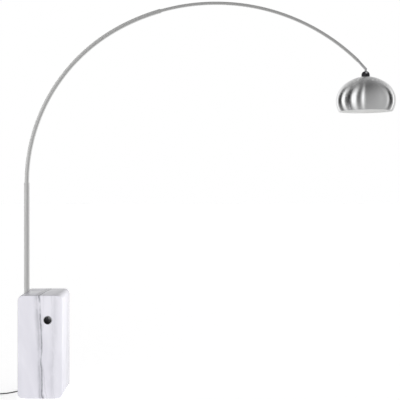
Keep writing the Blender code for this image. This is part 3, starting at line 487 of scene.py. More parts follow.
arcCentre, shadeAxis, pivot = (joints[name] for name in ("arc_extension", "reflector_tilt", "head_swing"))
steelLook = {"colour": (0.86, 0.86, 0.852), "roughness": 0.33, "metallic": 1.0, "along": 14.0, "lines": 1700.0,
             "spread": 0.1, "bump": 0.12, "relief": 0.00006}
aluminiumLook = {"colour": (0.93, 0.93, 0.935), "roughness": 0.25, "Anisotropic": 1.0, "metallic": 1.0,
                 "centre": shadeAxis, "across": "Z", "along": 1.2, "lines": 2400.0, "spread": 0.05,
                 "bump": 0.1, "relief": 0.00004}
grainLooks = {
    "chrome": ("polishedChrome", {
        "colour": (0.8, 0.8, 0.82), "roughness": 0.07, "metallic": 1.0, "grain": 300.0, "spread": 0.04,
        "bump": 0.02}),
    # near-black chrome: the knuckle's own finish, and painted shade on the barrels of the hole liners
    "darkChromeAndPaintedShade": ("blackChromeAndPaintedShade", {
        "colour": (0.055, 0.055, 0.06), "roughness": 0.12, "metallic": 1.0, "grain": 300.0, "spread": 0.05,
        "bump": 0.02}),
    "enamel": ("whiteEnamel", {
        "colour": (0.93, 0.93, 0.925), "roughness": 0.38, "grain": 700.0, "bump": 0.08, "relief": 0.00006}),
    "zinc": ("zincPlate", {
        "colour": (0.56, 0.57, 0.58), "roughness": 0.36, "metallic": 1.0, "grain": 1500.0, "bump": 0.15,
        "tint": (0.66, 0.65, 0.6), "tintScale": 120.0}),
    "felt": ("pressedFelt", {
        "colour": (0.035, 0.035, 0.038), "tint": (0.06, 0.06, 0.062), "roughness": 0.96, "grain": 1400.0,
        "bump": 0.9, "relief": 0.0006, "Sheen Weight": 0.4, "tintScale": 600.0}),
    "rubber": ("cordJacket", {
        "colour": (0.018, 0.018, 0.019), "tint": (0.028, 0.028, 0.029), "roughness": 0.46, "grain": 1600.0,
        "bump": 0.25, "relief": 0.00008}),
    "plastic": ("mouldedBlackPlastic", {
        "colour": (0.022, 0.022, 0.023), "tint": (0.03, 0.03, 0.031), "roughness": 0.38, "grain": 1900.0,
        "bump": 0.35}),
    "bakelite": ("holderPlastic", {
        "colour": (0.03, 0.028, 0.027), "roughness": 0.28, "grain": 900.0, "bump": 0.12}),
    "lead": ("whiteCable", {
        "colour": (0.72, 0.72, 0.7), "roughness": 0.5, "grain": 1200.0, "bump": 0.2}),
    "strap": ("wovenStrap", {
        "colour": (0.022, 0.022, 0.024), "tint": (0.045, 0.045, 0.048), "roughness": 0.85, "grain": 1300.0,
        "bump": 0.7, "relief": 0.0003, "Sheen Weight": 0.3, "tintScale": 900.0}),
    "ceramic": ("steatite", {
        "colour": (0.8, 0.78, 0.73), "tint": (0.86, 0.85, 0.8), "roughness": 0.55, "grain": 1500.0,
        "bump": 0.4}),
    "nickel": ("nickelBrass", {
        "colour": (0.75, 0.7, 0.6), "roughness": 0.2, "metallic": 1.0, "grain": 800.0, "bump": 0.06}),
    "opal": ("opalGlass", {
        "colour": (0.9, 0.9, 0.885), "roughness": 0.16, "grain": 500.0, "bump": 0.02,
        "Subsurface Weight": 0.25, "Coat Weight": 0.3}),
}
finishes = {
    "marble": marbleMaterial(),
    "postSteel": brushedMaterial("satinPostSteel", steelLook),
    "arcSteel": brushedMaterial("satinArcSteel", {**steelLook, "centre": arcCentre, "across": "Y"}),
    "aluminium": brushedMaterial("spunAluminium", aluminiumLook),
    **{key: grainMaterial(*entry) for key, entry in grainLooks.items()},
}
print("materials ready")


# ---------- mains cord ----------

cordSetup = {"diameter": 0.0062, "floorZ": 0.0034, "coilCentre": (-0.315, -0.19), "coilTurns": 5.25,
             "coilMiddle": 0.033, "step": 0.004, "stepsPerTurn": 20, "climbFrom": 2.2, "climbTo": 2.5,
             "innerGap": 0.0004, "layerGap": 0.0002, "leadIn": 0.0064, "leadOut": 0.0024, "dropOut": 0.0044}
floorZ = cordSetup["floorZ"]

# from the strain relief down to the floor, round the base's left side to the foot switch
routeToSwitch = [
    (-0.0955, 0.127, 0.1), (-0.096, 0.142, 0.0985), (-0.0985, 0.159, 0.0905), (-0.1035, 0.1735, 0.0735),
    (-0.111, 0.1835, 0.05), (-0.121, 0.1885, 0.027), (-0.134, 0.187, 0.01), (-0.148, 0.1765, floorZ),
    (-0.156, 0.156, floorZ), (-0.156, 0.13, floorZ), (-0.15, 0.101, floorZ), (-0.144, 0.072, floorZ),
    (-0.142, 0.044, floorZ), (-0.151, 0.015, floorZ), (-0.176, -0.004, floorZ), (-0.2015, -0.02, 0.0042),
    (-0.227, -0.0352, 0.0075), (-0.239, -0.0432, 0.009), (-0.2507, -0.0484, 0.009),
]

# from the foot switch to the coil, and from the coil to the plug
routeToCoil = [
    (-0.3233, -0.0956, 0.009), (-0.334, -0.103, 0.0086), (-0.344, -0.1115, 0.006), (-0.3535, -0.124, floorZ),
    (-0.359, -0.14, floorZ), (-0.3606, -0.16, floorZ), (-0.3606, -0.18, floorZ),
]
routeToPlug = [
    (-0.304, -0.2362, 0.0046), (-0.296, -0.2374, 0.0044), (-0.287, -0.2384, 0.0058), (-0.2784, -0.2385, 0.00685),
]


def coilTurns():
    # two turns inwards on the floor, a quick climb, then outwards over them and down again
    d, gap = cordSetup["diameter"], cordSetup["innerGap"]
    outer, inner = cordSetup["coilMiddle"] + d, cordSetup["coilMiddle"] - d - gap
    turns, climbFrom, climbTo = cordSetup["coilTurns"], cordSetup["climbFrom"], cordSetup["climbTo"]
    points = []
    count = round(turns * cordSetup["stepsPerTurn"])
    for i in range(count + 1):
        s = turns * i / count
        climbed = ease((s - climbFrom) / 0.3)
        if s < climbFrom:
            r = outer + cordSetup["leadIn"] * (1 - ease(s / 0.2)) - d * max(s - 0.2, 0)
        elif s < climbTo:
            r = inner + gap * (1 - climbed)
        else:
            r = inner + d * (s - climbTo)
        r += cordSetup["leadOut"] * ease((s - turns + 0.25) / 0.25)
        z = floorZ + (d + cordSetup["layerGap"]) * climbed
        z -= cordSetup["dropOut"] * ease((s - turns + 0.2) / 0.22)
        a = pi + 2 * pi * s
        points.append((cordSetup["coilCentre"][0] + r * cos(a), cordSetup["coilCentre"][1] + r * sin(a), z))
    return points


def makeCord(name, line, replaced):
    curve = bpy.data.curves.new(name, "CURVE")
    curve.dimensions = "3D"
    curve.bevel_depth = cordSetup["diameter"] / 2
    curve.bevel_resolution = 6
    curve.use_fill_caps = True
    spline = curve.splines.new("POLY")
    spline.points.add(len(line) - 1)
    for point, (x, y, z) in zip(spline.points, line):
        point.co = (x, y, max(z, floorZ), 1)
    curve.materials.append(finishes["rubber"])
    return declare(newObject(name, curve), replaced[0], replaced)


lineToSwitch = smoothLine(routeToSwitch, cordSetup["step"])
lineToPlug = smoothLine(routeToCoil + coilTurns() + routeToPlug, cordSetup["step"])
switchCord = makeCord("powerCordToSwitch", lineToSwitch, ["cord_to_switch"])
plugCord = makeCord("powerCordToPlug", lineToPlug, ["cord_to_coil", "cord_coil", "cord_to_plug"])
print("cords ready", round(lineLength(lineToSwitch), 4), round(lineLength(lineToPlug), 4))


# ---------- marble base ----------

baseLook = {"corner": 0.028, "edgeBevel": 0.0045, "cornerSegments": 14, "liner": 0.0015, "lip": 0.0016,
            "lipWidth": 0.0035, "innerRound": 0.0014, "ductDiameter": 0.014, "boltHole": 0.011,
            "counterbore": 0.036, "wellDepth": 0.03, "socketGap": 0.0005, "fit": 0.0003, "arris": 0.0006}
# distance of the marble's front and rear faces from the middle plane
marbleFace = spot("marble_block")[1].y / 2


def makeMarble():
    size, low = spot("marble_block")[1:]
    postMiddle, postSize, postLow = spot("stem_post")
    holeSize = spot("hole_liner_front")[1]
    fit, post = baseLook["fit"], postMiddle.x
    bm = block(low, low + size)
    bevel(bm, edgesAlong(bm, 1, size.y / 2), baseLook["corner"], baseLook["cornerSegments"])
    bevel(bm, edgesAcross(bm, 1), baseLook["edgeBevel"], 5)
    half = postSize.x / 2 + baseLook["socketGap"]
    top, face = low.z + size.z, low.y + size.y
    socket = block((post - half, -half, postLow.z - fit), (post + half, half, top + 0.01))
    ductZ = spot("cable_gland")[0].z
    duct = cylinder((post, 0.005, ductZ), (post, face + 0.01, ductZ), baseLook["ductDiameter"] / 2)
    bolt = cylinder((post, 0, 0.02), (post, 0, postLow.z + 0.005), baseLook["boltHole"] / 2)
    well = cylinder((post, 0, -0.01), (post, 0, baseLook["wellDepth"]), baseLook["counterbore"] / 2, 48)
    bore = holeSize.x / 2 - baseLook["lipWidth"] + baseLook["liner"] + fit
    through = crossBore("hole_liner_front", low.y - 0.01, face + 0.01, bore, 96)
    bm = carve(bm, [socket, duct, bolt, well, through])
    # a small arris round the socket's mouth, as the stone is eased there
    rim = [e for e in bm.edges if all(abs(v.co.z - top) < 1e-5 and abs(v.co.x - post) < half + 1e-4
                                      and abs(v.co.y) < half + 1e-4 for v in e.verts)]
    bevel(bm, rim, baseLook["arris"], 2)
    standIn("marble_block", bm, "marble", 40, name="marbleBase")


def makeLiners():
    middle, size, low = spot("hole_liner_front")
    outer, lip, inner = size.x / 2, baseLook["lip"], baseLook["innerRound"]
    bore = outer - baseLook["lipWidth"]
    tube = bore + baseLook["liner"]
    rim = marbleFace + baseLook["fit"]
    outline = [(bore, 0.00015), (tube, 0.00015), (tube, rim), (outer, rim)]
    outline += quarter(outer - lip, rim, lip, 5)[1:] + quarter(bore + inner, rim + lip - inner, inner, 6, pi / 2)
    for side, cad in ((-1, "hole_liner_front"), (1, "hole_liner_rear")):
        bm = lathe([(r, h * side) for r, h in outline], (middle.x, 0, middle.z), 96, "Y")
        # the barrel inside the carrying hole is near-black chrome: painted shade of the hole, on a liner that is
        # bright chrome all through
        for face in bm.faces:
            centre = face.calc_center_median()
            away = hypot(centre.x - middle.x, centre.z - middle.z)
            face.material_index = 1 if away < bore + 0.0002 and abs(centre.y) < rim else 0
        standIn(cad, bm, "chrome", 50, "darkChromeAndPaintedShade")


makeMarble()
makeLiners()
print("marble base ready")


# ---------- square tubes ----------

tubeLook = {"postWall": 0.002, "lowerWall": 0.002, "upperWall": 0.0015, "corner": 0.0016, "innerCorner": 0.0004,
            "cornerSteps": 4, "facet": 0.9, "gap": 0.0005, "screwBore": 0.005, "tipBore": 0.0036,
            "cableGap": 0.0045, "cableBelow": 0.006, "cableAbove": 0.022}
arcLook = {"lowerRadius": 0.9679, "upperRadius": 1.1195, "blendAngle": 118.85, "lowerEnd": 105.8,
           "upperTail": 114.0, "upperEnd": 45.7}
postMiddle, postSize, postLow = spot("stem_post")
postTop = postLow.z + postSize.z
lowerCentre = Vector((postMiddle.x + arcLook["lowerRadius"], 0, postTop))
lowerSize = postSize.x - 2 * (tubeLook["postWall"] + tubeLook["gap"])
upperSize = lowerSize - 2 * (tubeLook["lowerWall"] + tubeLook["gap"])


def squareRing(bm, size, wall):
    # end face of a square tube, flat in the plane z = 0
    loops = []
    corner = tubeLook["corner"]
    for width, radius in ((size, corner), (size - 2 * wall, max(corner - wall, tubeLook["innerCorner"]))):
        disc = bmesh.new()
        bmesh.ops.create_grid(disc, x_segments=1, y_segments=1, size=width / 2)
        bevel(disc, disc.verts[:], radius, tubeLook["cornerSteps"], "VERTICES")
        outline = [v.co.copy() for v in disc.faces[:][0].verts]
        disc.free()
        verts = [bm.verts.new(p) for p in outline]
        loops += [bm.edges.new((verts[i - 1], verts[i])) for i in range(len(verts))]
    return bmesh.ops.bridge_loops(bm, edges=loops)["faces"]


def grow(bm, faces, first):
    # only the first end face stays; the later ones would be walls inside the tube
    newFaces, verts = extrude(bm, faces)
    if not first:
        bmesh.ops.delete(bm, geom=faces, context="FACES_ONLY")
    return newFaces, verts


def sweepArc(bm, faces, centre, degrees, first=False):
    steps = max(1, round(degrees / tubeLook["facet"]))
    for i in range(steps):
        faces, verts = grow(bm, faces, first and i == 0)
        turn(bm, radians(degrees / steps), "Y", centre, verts)
    return faces


def startUpright(size, wall, bottom, top):
    # a straight tube up the post's axis, and its open end
    bm = bmesh.new()
    faces = squareRing(bm, size, wall)
    move(bm, (postMiddle.x, 0, bottom))
    faces, verts = grow(bm, faces, True)
    move(bm, (0, 0, top - bottom), verts)
    return bm, faces


def makePost():
    bm, faces = startUpright(postSize.x, tubeLook["postWall"], postLow.z, postTop)
    tidyNormals(bm)
    window = tubeLook["cableGap"]
    cableZ = spot("cable_gland")[0].z
    gap = block((postMiddle.x - window, 0.005, cableZ - tubeLook["cableBelow"]),
                (postMiddle.x + window, 0.02, cableZ + tubeLook["cableAbove"]))
    bm = carve(bm, [gap, crossBore("post_lock_screw", 0.006, 0.02, tubeLook["screwBore"] / 2)])
    standIn("stem_post", bm, "postSteel", 50)


def makeLowerArc():
    bm, faces = startUpright(lowerSize, tubeLook["lowerWall"], spot("lower_arc")[2].z, postTop)
    faces = sweepArc(bm, faces, lowerCentre, 180 - arcLook["blendAngle"])
    sweepArc(bm, faces, arcCentre, arcLook["blendAngle"] - arcLook["lowerEnd"])
    tidyNormals(bm)
    bm = carve(bm, [crossBore("arc_lock_screw", 0.004, 0.015, tubeLook["screwBore"] / 2)])
    standIn("lower_arc", bm, "arcSteel", 50)


def arcPoint(angle):
    a = radians(angle)
    return arcCentre + arcLook["upperRadius"] * Vector((cos(a), 0, sin(a)))


def makeUpperArc():
    bm = bmesh.new()
    faces = squareRing(bm, upperSize, tubeLook["upperWall"])
    turn(bm, radians(180 - arcLook["upperTail"]), "Y")
    move(bm, arcPoint(arcLook["upperTail"]))
    sweepArc(bm, faces, arcCentre, arcLook["upperTail"] - arcLook["upperEnd"], True)
    tidyNormals(bm)
    bm = carve(bm, [crossBore("arm_tip_screw", -0.012, -0.003, tubeLook["tipBore"] / 2)])
    standIn("upper_arc", bm, "arcSteel", 50)


makePost()
makeLowerArc()
makeUpperArc()
print("tubes ready")


# ---------- screws ----------

lockScrewLook = {"headHeight": 0.0037, "edge": 0.0006, "shank": 0.0022, "socket": 0.0024, "socketDepth": 0.002}
tipScrewLook = {"headHeight": 0.0011, "edge": 0.0005, "shank": 0.0015, "socket": 0.0012, "socketDepth": 0.0008}
pivotScrewLook = {"headHeight": 0.0034, "edge": 0.0022, "shank": 0.002, "socket": 0.0023, "socketDepth": 0.0022}
screws = [
    ("post_lock_screw", "zinc", lockScrewLook), ("arc_lock_screw", "zinc", lockScrewLook),
    ("arm_tip_screw", "zinc", tipScrewLook),
    ("pivot_screw_front", "chrome", pivotScrewLook), ("pivot_screw_rear", "chrome", pivotScrewLook),
]


def makeScrew(cad, finish, look):
    # a cap screw along Y with a hexagon socket, its head on the side that faces away from the middle plane
    middle, size, low = spot(cad)
    side = 1 if middle.y > 0 else -1
    tip, top = sorted((abs(low.y), abs(low.y + size.y)))
    head, edge, shank = size.x / 2, look["edge"], look["shank"]
    seat = top - look["headHeight"]
    outline = [(0, tip), (shank - 0.0003, tip), (shank, tip + 0.0003), (shank, seat), (head - 0.0001, seat),
               (head, seat + 0.0001)]
    outline += quarter(head - edge, top - edge, edge, 5) + [(head * 0.4, top), (0, top)]
    bm = lathe([(r, h * side) for r, h in outline], (middle.x, 0, middle.z), 40, "Y")
    bm = carve(bm, [crossBore(cad, side * (top - look["socketDepth"]), side * (top + 0.001), look["socket"], 6)])
    standIn(cad, bm, finish)


for screw in screws:
    makeScrew(*screw)
print("screws ready")


# ---------- arm tip ----------

tipLook = {"size": 0.0134, "corner": 0.003, "rise": 0.022, "tongueWidth": 0.012, "tongueThickness": 0.009,
           "spigot": 0.024, "spigotCorner": 0.001, "barrelEdge": 0.001, "barEdge": 0.0004, "bore": 0.0062,
           "pivotBore": 0.0046, "gap": 0.0003}
armEnd = arcPoint(arcLook["upperEnd"])
barrelPlace = pivot + Vector((0, 0, tipLook["rise"]))


def barBetween(start, end, width, corner, segments=4):
    # a square bar with rounded long edges, in the plane of the arc
    along = end - start
    bm = block((-width / 2, -width / 2, 0), (width / 2, width / 2, along.length))
    bevel(bm, edgesAlong(bm, 2, along.length / 2), corner, segments)
    bevel(bm, edgesAcross(bm, 2), tipLook["barEdge"], 2)
    turn(bm, atan2(along.x, along.z), "Y")
    move(bm, start)
    return bm


def makeArmTip():
    along = (barrelPlace - armEnd).normalized()
    tangent = (armEnd - arcPoint(arcLook["upperEnd"] + 1)).normalized()
    bm = barBetween(armEnd + along * 0.0012, barrelPlace, tipLook["size"], tipLook["corner"])
    inner = upperSize - 2 * (tubeLook["upperWall"] + tipLook["gap"])
    spigot = barBetween(armEnd - tangent * tipLook["spigot"], armEnd + tangent * 0.004, inner,
                        tipLook["spigotCorner"], 2)
    radius, edge = tipLook["size"] / 2, tipLook["barrelEdge"]
    half = radius - tipLook["gap"]
    shoulder = quarter(radius - edge, half - edge, edge, 4)
    outline = [(0, -half)] + [(r, -h) for r, h in reversed(shoulder)] + shoulder + [(0, half)]
    barrel = lathe(outline, barrelPlace, 56, "Y")
    wide, thick = tipLook["tongueWidth"] / 2, tipLook["tongueThickness"] / 2
    tongue = block((pivot.x - wide, -thick, pivot.z), (pivot.x + wide, thick, barrelPlace.z))
    heel = cylinder(pivot - Vector((0, thick, 0)), pivot + Vector((0, thick, 0)), wide, 64)
    bm = carve(bm, [spigot, barrel, tongue, heel], "UNION")
    side, bore = Vector((0, 0.01, 0)), tipLook["bore"] / 2
    bores = [cylinder(armEnd - tangent * 0.034, armEnd + tangent * 0.006, bore + 0.0003, 21),
             cylinder(armEnd + along * 0.003, barrelPlace + along * 0.001, bore, 23),
             cylinder(barrelPlace, pivot - Vector((0, 0, 0.02)), bore - 0.0002, 25),
             cylinder(pivot - side, pivot + side, tipLook["pivotBore"] / 2, 27),
             crossBore("arm_tip_screw", -0.012, -0.003, tubeLook["tipBore"] / 2, 19)]
    standIn("arm_tip", carve(bm, bores), "chrome")


makeArmTip()


# ---------- knuckle ----------

knuckleLook = {"slotFloor": 0.0095, "foot": 0.0008, "fullness": 0.77, "nippleBore": 0.0106, "headBore": 0.0131,
               "steps": 40, "seatGap": 0.0005, "reach": 0.04}


def makeKnuckle():
    middle, size, low = spot("head_knuckle")
    radius, foot, full, steps, reach = (
        size.x / 2, knuckleLook["foot"], knuckleLook["fullness"], knuckleLook["steps"], knuckleLook["reach"])
    dome = [(radius * cos(a) ** full, low.z + size.z * sin(a) ** full)
            for a in [pi / 2 * i / steps for i in range(2, steps)]]
    outline = [(0, low.z), (radius - foot, low.z), (radius - foot * 0.3, low.z + foot * 0.3)]
    bm = lathe(outline + dome + [(0, low.z + size.z)], (pivot.x, 0, 0), 96)
    half = tipLook["tongueThickness"] / 2 + tipLook["gap"]
    floor = low.z + knuckleLook["slotFloor"]
    seat = abs(spot("pivot_screw_front")[2].y) - pivotScrewLook["headHeight"] - knuckleLook["seatGap"]
    cutters = [block((pivot.x - reach, -half, floor), (pivot.x + reach, half, pivot.z + reach)),
               cylinder((pivot.x, 0, low.z - 0.01), (pivot.x, 0, floor + 0.004), knuckleLook["nippleBore"] / 2, 40)]
    for start, end, bore, sides in ((-reach, reach, tipLook["pivotBore"], 32),
                                    (-seat, -reach, knuckleLook["headBore"], 56),
                                    (seat, reach, knuckleLook["headBore"], 56)):
        cutters.append(cylinder(pivot + Vector((0, start, 0)), pivot + Vector((0, end, 0)), bore / 2, sides))
    standIn("head_knuckle", carve(bm, cutters), "darkChromeAndPaintedShade")


makeKnuckle()
print("arm tip and knuckle ready")


# ---------- shade ----------

shadeLook = {"radius": 0.16, "halfHeight": 0.1335, "slide": 0.118, "ellipseFrom": 0.15, "wall": 0.0012,
             "mouth": 0.107, "steps": 160, "rings": 80, "holes": 24, "hole": 0.0075, "holeCircle": 0.098,
             "capRadius": 0.1195, "capHole": 0.0053, "capRings": 40, "gap": 0.0003}
rimZ = spot("reflector")[2].z
touchHeight = shadeLook["halfHeight"] * sqrt(1 - (shadeLook["slide"] / shadeLook["radius"]) ** 2)
touchSlope = shadeLook["slide"] / shadeLook["radius"] ** 2 * shadeLook["halfHeight"] ** 2 / touchHeight
ballRadius = shadeLook["slide"] * sqrt(1 + touchSlope ** 2) / touchSlope
equator = shadeAxis.z + shadeLook["slide"] / touchSlope - touchHeight


def outwards(profile, distance):
    # the same outline, moved along its own normals
    moved = []
    for i, (r, z) in enumerate(profile):
        a, b = profile[max(i - 1, 0)], profile[min(i + 1, len(profile) - 1)]
        dr, dz = b[0] - a[0], b[1] - a[1]
        size = sqrt(dr * dr + dz * dz)
        moved.append((r - dz / size * distance, z + dr / size * distance))
    return moved


def makeBowl(outer, centre):
    return lathe(outer + outwards(outer, -shadeLook["wall"])[::-1], centre, shadeLook["steps"])


def addBowl(cad, bm, smooth):
    # bare aluminium outside, enamel on the faces that look towards the bulb
    for face in bm.faces:
        spread = face.calc_center_median() - shadeAxis
        face.material_index = 0 if spread.dot(face.normal) > 0 else 1
    standIn(cad, bm, "aluminium", smooth, "enamel")


def makeReflector():
    # a ball where it slides on the cap, eased into an ellipse further down
    radius, slide, full = shadeLook["radius"], shadeLook["slide"], shadeLook["ellipseFrom"]
    start = asin(shadeLook["mouth"] / radius)
    end = pi / 2 + asin((equator - rimZ) / shadeLook["halfHeight"])
    outer = []
    for i in range(shadeLook["rings"] + 1):
        t = start + (end - start) * i / shadeLook["rings"]
        r, z = radius * sin(t), equator + shadeLook["halfHeight"] * cos(t)
        if t < pi / 2 and r < full:
            w = ease((r - slide) / (full - slide))
            z = z * w + (shadeAxis.z + sqrt(ballRadius ** 2 - r ** 2)) * (1 - w)
        outer.append((r, z))
    addBowl("reflector", makeBowl(outer, (shadeAxis.x, 0, 0)), 40)


def makeCap():
    ball = ballRadius - shadeLook["wall"] - shadeLook["gap"]
    first, last, steps = asin(shadeLook["capHole"] / ball), asin(shadeLook["capRadius"] / ball), shadeLook["capRings"]
    angles = [first + (last - first) * i / steps for i in range(steps + 1)]
    bm = makeBowl([(ball * sin(a), shadeAxis.z + ball * cos(a)) for a in angles], origin)
    # turned a little, so that no edge of the cap lies along an edge of a drill
    turn(bm, radians(0.7), "Z")
    move(bm, (shadeAxis.x, 0, 0))
    drills = bmesh.new()
    tilt = Matrix.Rotation(asin(shadeLook["holeCircle"] / ball), 4, "Y")
    for i in range(shadeLook["holes"]):
        aim = Matrix.Translation(shadeAxis) @ Matrix.Rotation(2 * pi * (i + 0.5) / shadeLook["holes"], 4, "Z") @ tilt
        addRod(drills, shadeLook["hole"] / 2, 0.012, 28,
               aim @ Matrix.Translation((0, 0, ball)) @ Matrix.Rotation(0.03, 4, "Z"))
    addBowl("perforated_cap", carve(bm, [drills]), 30)


makeReflector()
makeCap()
print("shade ready")


# ---------- lampholder and bulb ----------

holderLook = {"wall": 0.0015, "hole": 0.0053, "crown": 0.003, "roof": 0.002, "step": 0.0006, "flutes": 18,
              "fluteRadius": 0.001, "fit": 0.0003, "ringEdge": 0.0004}
bulbLook = {"threadPitch": 0.0036, "threadDepth": 0.0007, "threads": 5, "neck": 0.0127, "firstAngle": 40,
            "globeSteps": 40, "throatSteps": 14, "flare": 1.3}


def makeHolder():
    middle, size, low = spot("lampholder_shell")
    radius, hole, crown, step, fit = (
        size.x / 2, holderLook["hole"], holderLook["crown"], holderLook["step"], holderLook["fit"])
    top, bottom, inner = low.z + size.z, low.z, radius - holderLook["wall"]
    roof = top - holderLook["roof"]
    shell = [(hole, roof), (inner, roof), (inner, bottom), (radius - fit, bottom), (radius, bottom + fit),
             (radius, top - 0.022), (radius - step, top - 0.0212), (radius - step, top - 0.0195),
             (radius, top - 0.0187)] + quarter(radius - crown, top - crown, crown, 6) + [(hole, top)]
    standIn("lampholder_shell", lathe(shell, (pivot.x, 0, 0), 80), "bakelite")
    middle, size, low = spot("lampholder_ring")
    outer, high, edge = size.x / 2, low.z + size.z, holderLook["ringEdge"]
    ring = [(radius + fit, low.z), (outer - edge, low.z), (outer, low.z + edge), (outer, high - edge),
            (outer - edge, high), (radius + fit, high)]
    bm = lathe(ring, (pivot.x, 0, 0), 96)
    flutes = bmesh.new()
    for i in range(holderLook["flutes"]):
        aim = Matrix.Translation((pivot.x, 0, 0)) @ Matrix.Rotation(2 * pi * (i + 0.37) / holderLook["flutes"], 4, "Z")
        addRod(flutes, holderLook["fluteRadius"], 0.02, 14,
               aim @ Matrix.Translation((outer + edge, 0, (low.z + high) / 2)))
    standIn("lampholder_ring", carve(bm, [flutes]), "bakelite", 30)


def makeBulb():
    middle, size, low = spot("bulb_cap")
    radius, high, pitch = size.x / 2, low.z + size.z, bulbLook["threadPitch"]
    tip = [(0, high), (0.004, high), (0.005, high - 0.0006), (0.0085, high - 0.0032), (radius - 0.0014, high - 0.0046)]
    thread = []
    for i in range(bulbLook["threads"]):
        start = high - 0.0052 - i * pitch
        for k in range(8):
            wave = 0.5 - 0.5 * cos(2 * pi * k / 8)
            thread.append((radius - bulbLook["threadDepth"] * (1 - wave), start - pitch * k / 8))
    skirt = [(radius - 0.0006, low.z + 0.0018), (radius, low.z + 0.0012), (radius, low.z), (0, low.z)]
    standIn("bulb_cap", lathe(tip + thread + skirt, (pivot.x, 0, 0)), "nickel", 40)

    middle, size, low = spot("bulb_glass")
    radius, high, neck = size.x / 2, low.z + size.z, bulbLook["neck"]
    first, steps = radians(bulbLook["firstAngle"]), bulbLook["globeSteps"]
    angles = [first - (first + pi / 2) * i / steps for i in range(steps)]
    globe = [(radius * cos(t), low.z + radius + radius * sin(t)) for t in angles]
    joinR, joinZ = globe[0]
    throat = []
    for i in range(bulbLook["throatSteps"]):
        u = i / bulbLook["throatSteps"]
        throat.append((neck + (joinR - neck) * ease(u) ** bulbLook["flare"], high - (high - joinZ) * u))
    bm = lathe([(0, high)] + throat + globe + [(0, low.z)], (pivot.x, 0, 0), 80)
    standIn("bulb_glass", bm, "opal", 60)


makeHolder()
makeBulb()
print("lampholder and bulb ready")


# ---------- cable outlet ----------

outletLook = {"flangeEdge": 0.001, "bore": 0.0028, "spigot": 0.0067, "edge": 0.0004, "ribs": 8,
              "ribDepth": 0.0011, "root": 0.00575, "tip": 0.0039, "tipEdge": 0.0006}


def makeGland():
    middle, size, low = spot("cable_gland")
    flange, high = size.x / 2, low.y + size.y
    face = marbleFace + baseLook["fit"]
    rim, edge, bore, spigot = (outletLook[key] for key in ("flangeEdge", "edge", "bore", "spigot"))
    outline = [(bore, low.y), (spigot - edge, low.y), (spigot, low.y + edge), (spigot, face), (flange, face)]
    outline += quarter(flange - rim, high - rim, rim, 5)
    outline += [(0.0074, high), (0.007, high - edge), (0.0064, high - edge), (0.006, high), (bore, high)]
    bm = lathe(outline, (middle.x, 0, middle.z), 64, "Y")
    standIn("cable_gland", bm, "plastic", 40)


def makeStrainRelief():
    # ribs that get shallower towards the tip
    middle, size, low = spot("strain_relief")
    start, end, count = low.y, low.y + size.y, outletLook["ribs"]
    root, tip, edge = outletLook["root"], outletLook["tip"], outletLook["tipEdge"]
    outline = [(0, start), (root, start)]
    for i in range(count):
        for u, deep in ((0.42, 0), (0.52, 1), (0.88, 1), (0.98, 0)):
            t = (i + u) / (count + 0.6)
            r = root + (tip - root) * t
            outline.append((r - outletLook["ribDepth"] * deep * (1 - 0.45 * t), start + size.y * t))
    outline += [(tip, end - edge), (tip - edge, end), (0, end)]
    bm = lathe(outline, (middle.x, 0, middle.z), 48, "Y")
    standIn("strain_relief", bm, "rubber")


makeGland()
makeStrainRelief()


# ---------- foot switch ----------

switchLook = {"centre": (-0.287, -0.072, 0), "turn": 213.0, "length": 0.086, "width": 0.036, "wall": 0.002,
              "topEdge": 0.0045, "seamEdge": 0.0003, "bottomEdge": 0.0012, "roomEdge": 0.003,
              "grooves": 4, "grooveWidth": 0.0012, "grooveDepth": 0.0007, "firstGroove": 0.0205,
              "groovePitch": 0.0032, "grooveHalf": 0.011, "grooveTaper": 0.0014,
              "button": 0.0115, "fit": 0.0003, "dishDepth": 0.0008, "hollow": 0.001, "flange": 0.002}


def longShape(length, width, low, high, edge=0.0, bottomEdge=0.0):
    # an upright block with round ends, its rims rounded by edge and bottomEdge
    bm = bmesh.new()
    bmesh.ops.create_grid(bm, x_segments=1, y_segments=1, size=0.5)
    bmesh.ops.scale(bm, vec=(length, width, 1), verts=bm.verts)
    bevel(bm, bm.verts[:], width / 2 - 0.0002, 14, "VERTICES")
    move(bm, (0, 0, low))
    move(bm, (0, 0, high - low), extrude(bm, bm.faces[:])[1])
    tidyNormals(bm)
    for level, amount in ((high, edge), (low, bottomEdge)):
        if amount:
            bevel(bm, [e for e in bm.edges if all(abs(v.co.z - level) < 1e-6 for v in e.verts)], amount, 6)
    return bm


def layOnFloor(bm):
    turn(bm, radians(switchLook["turn"]), "Z")
    move(bm, switchLook["centre"])
    return bm


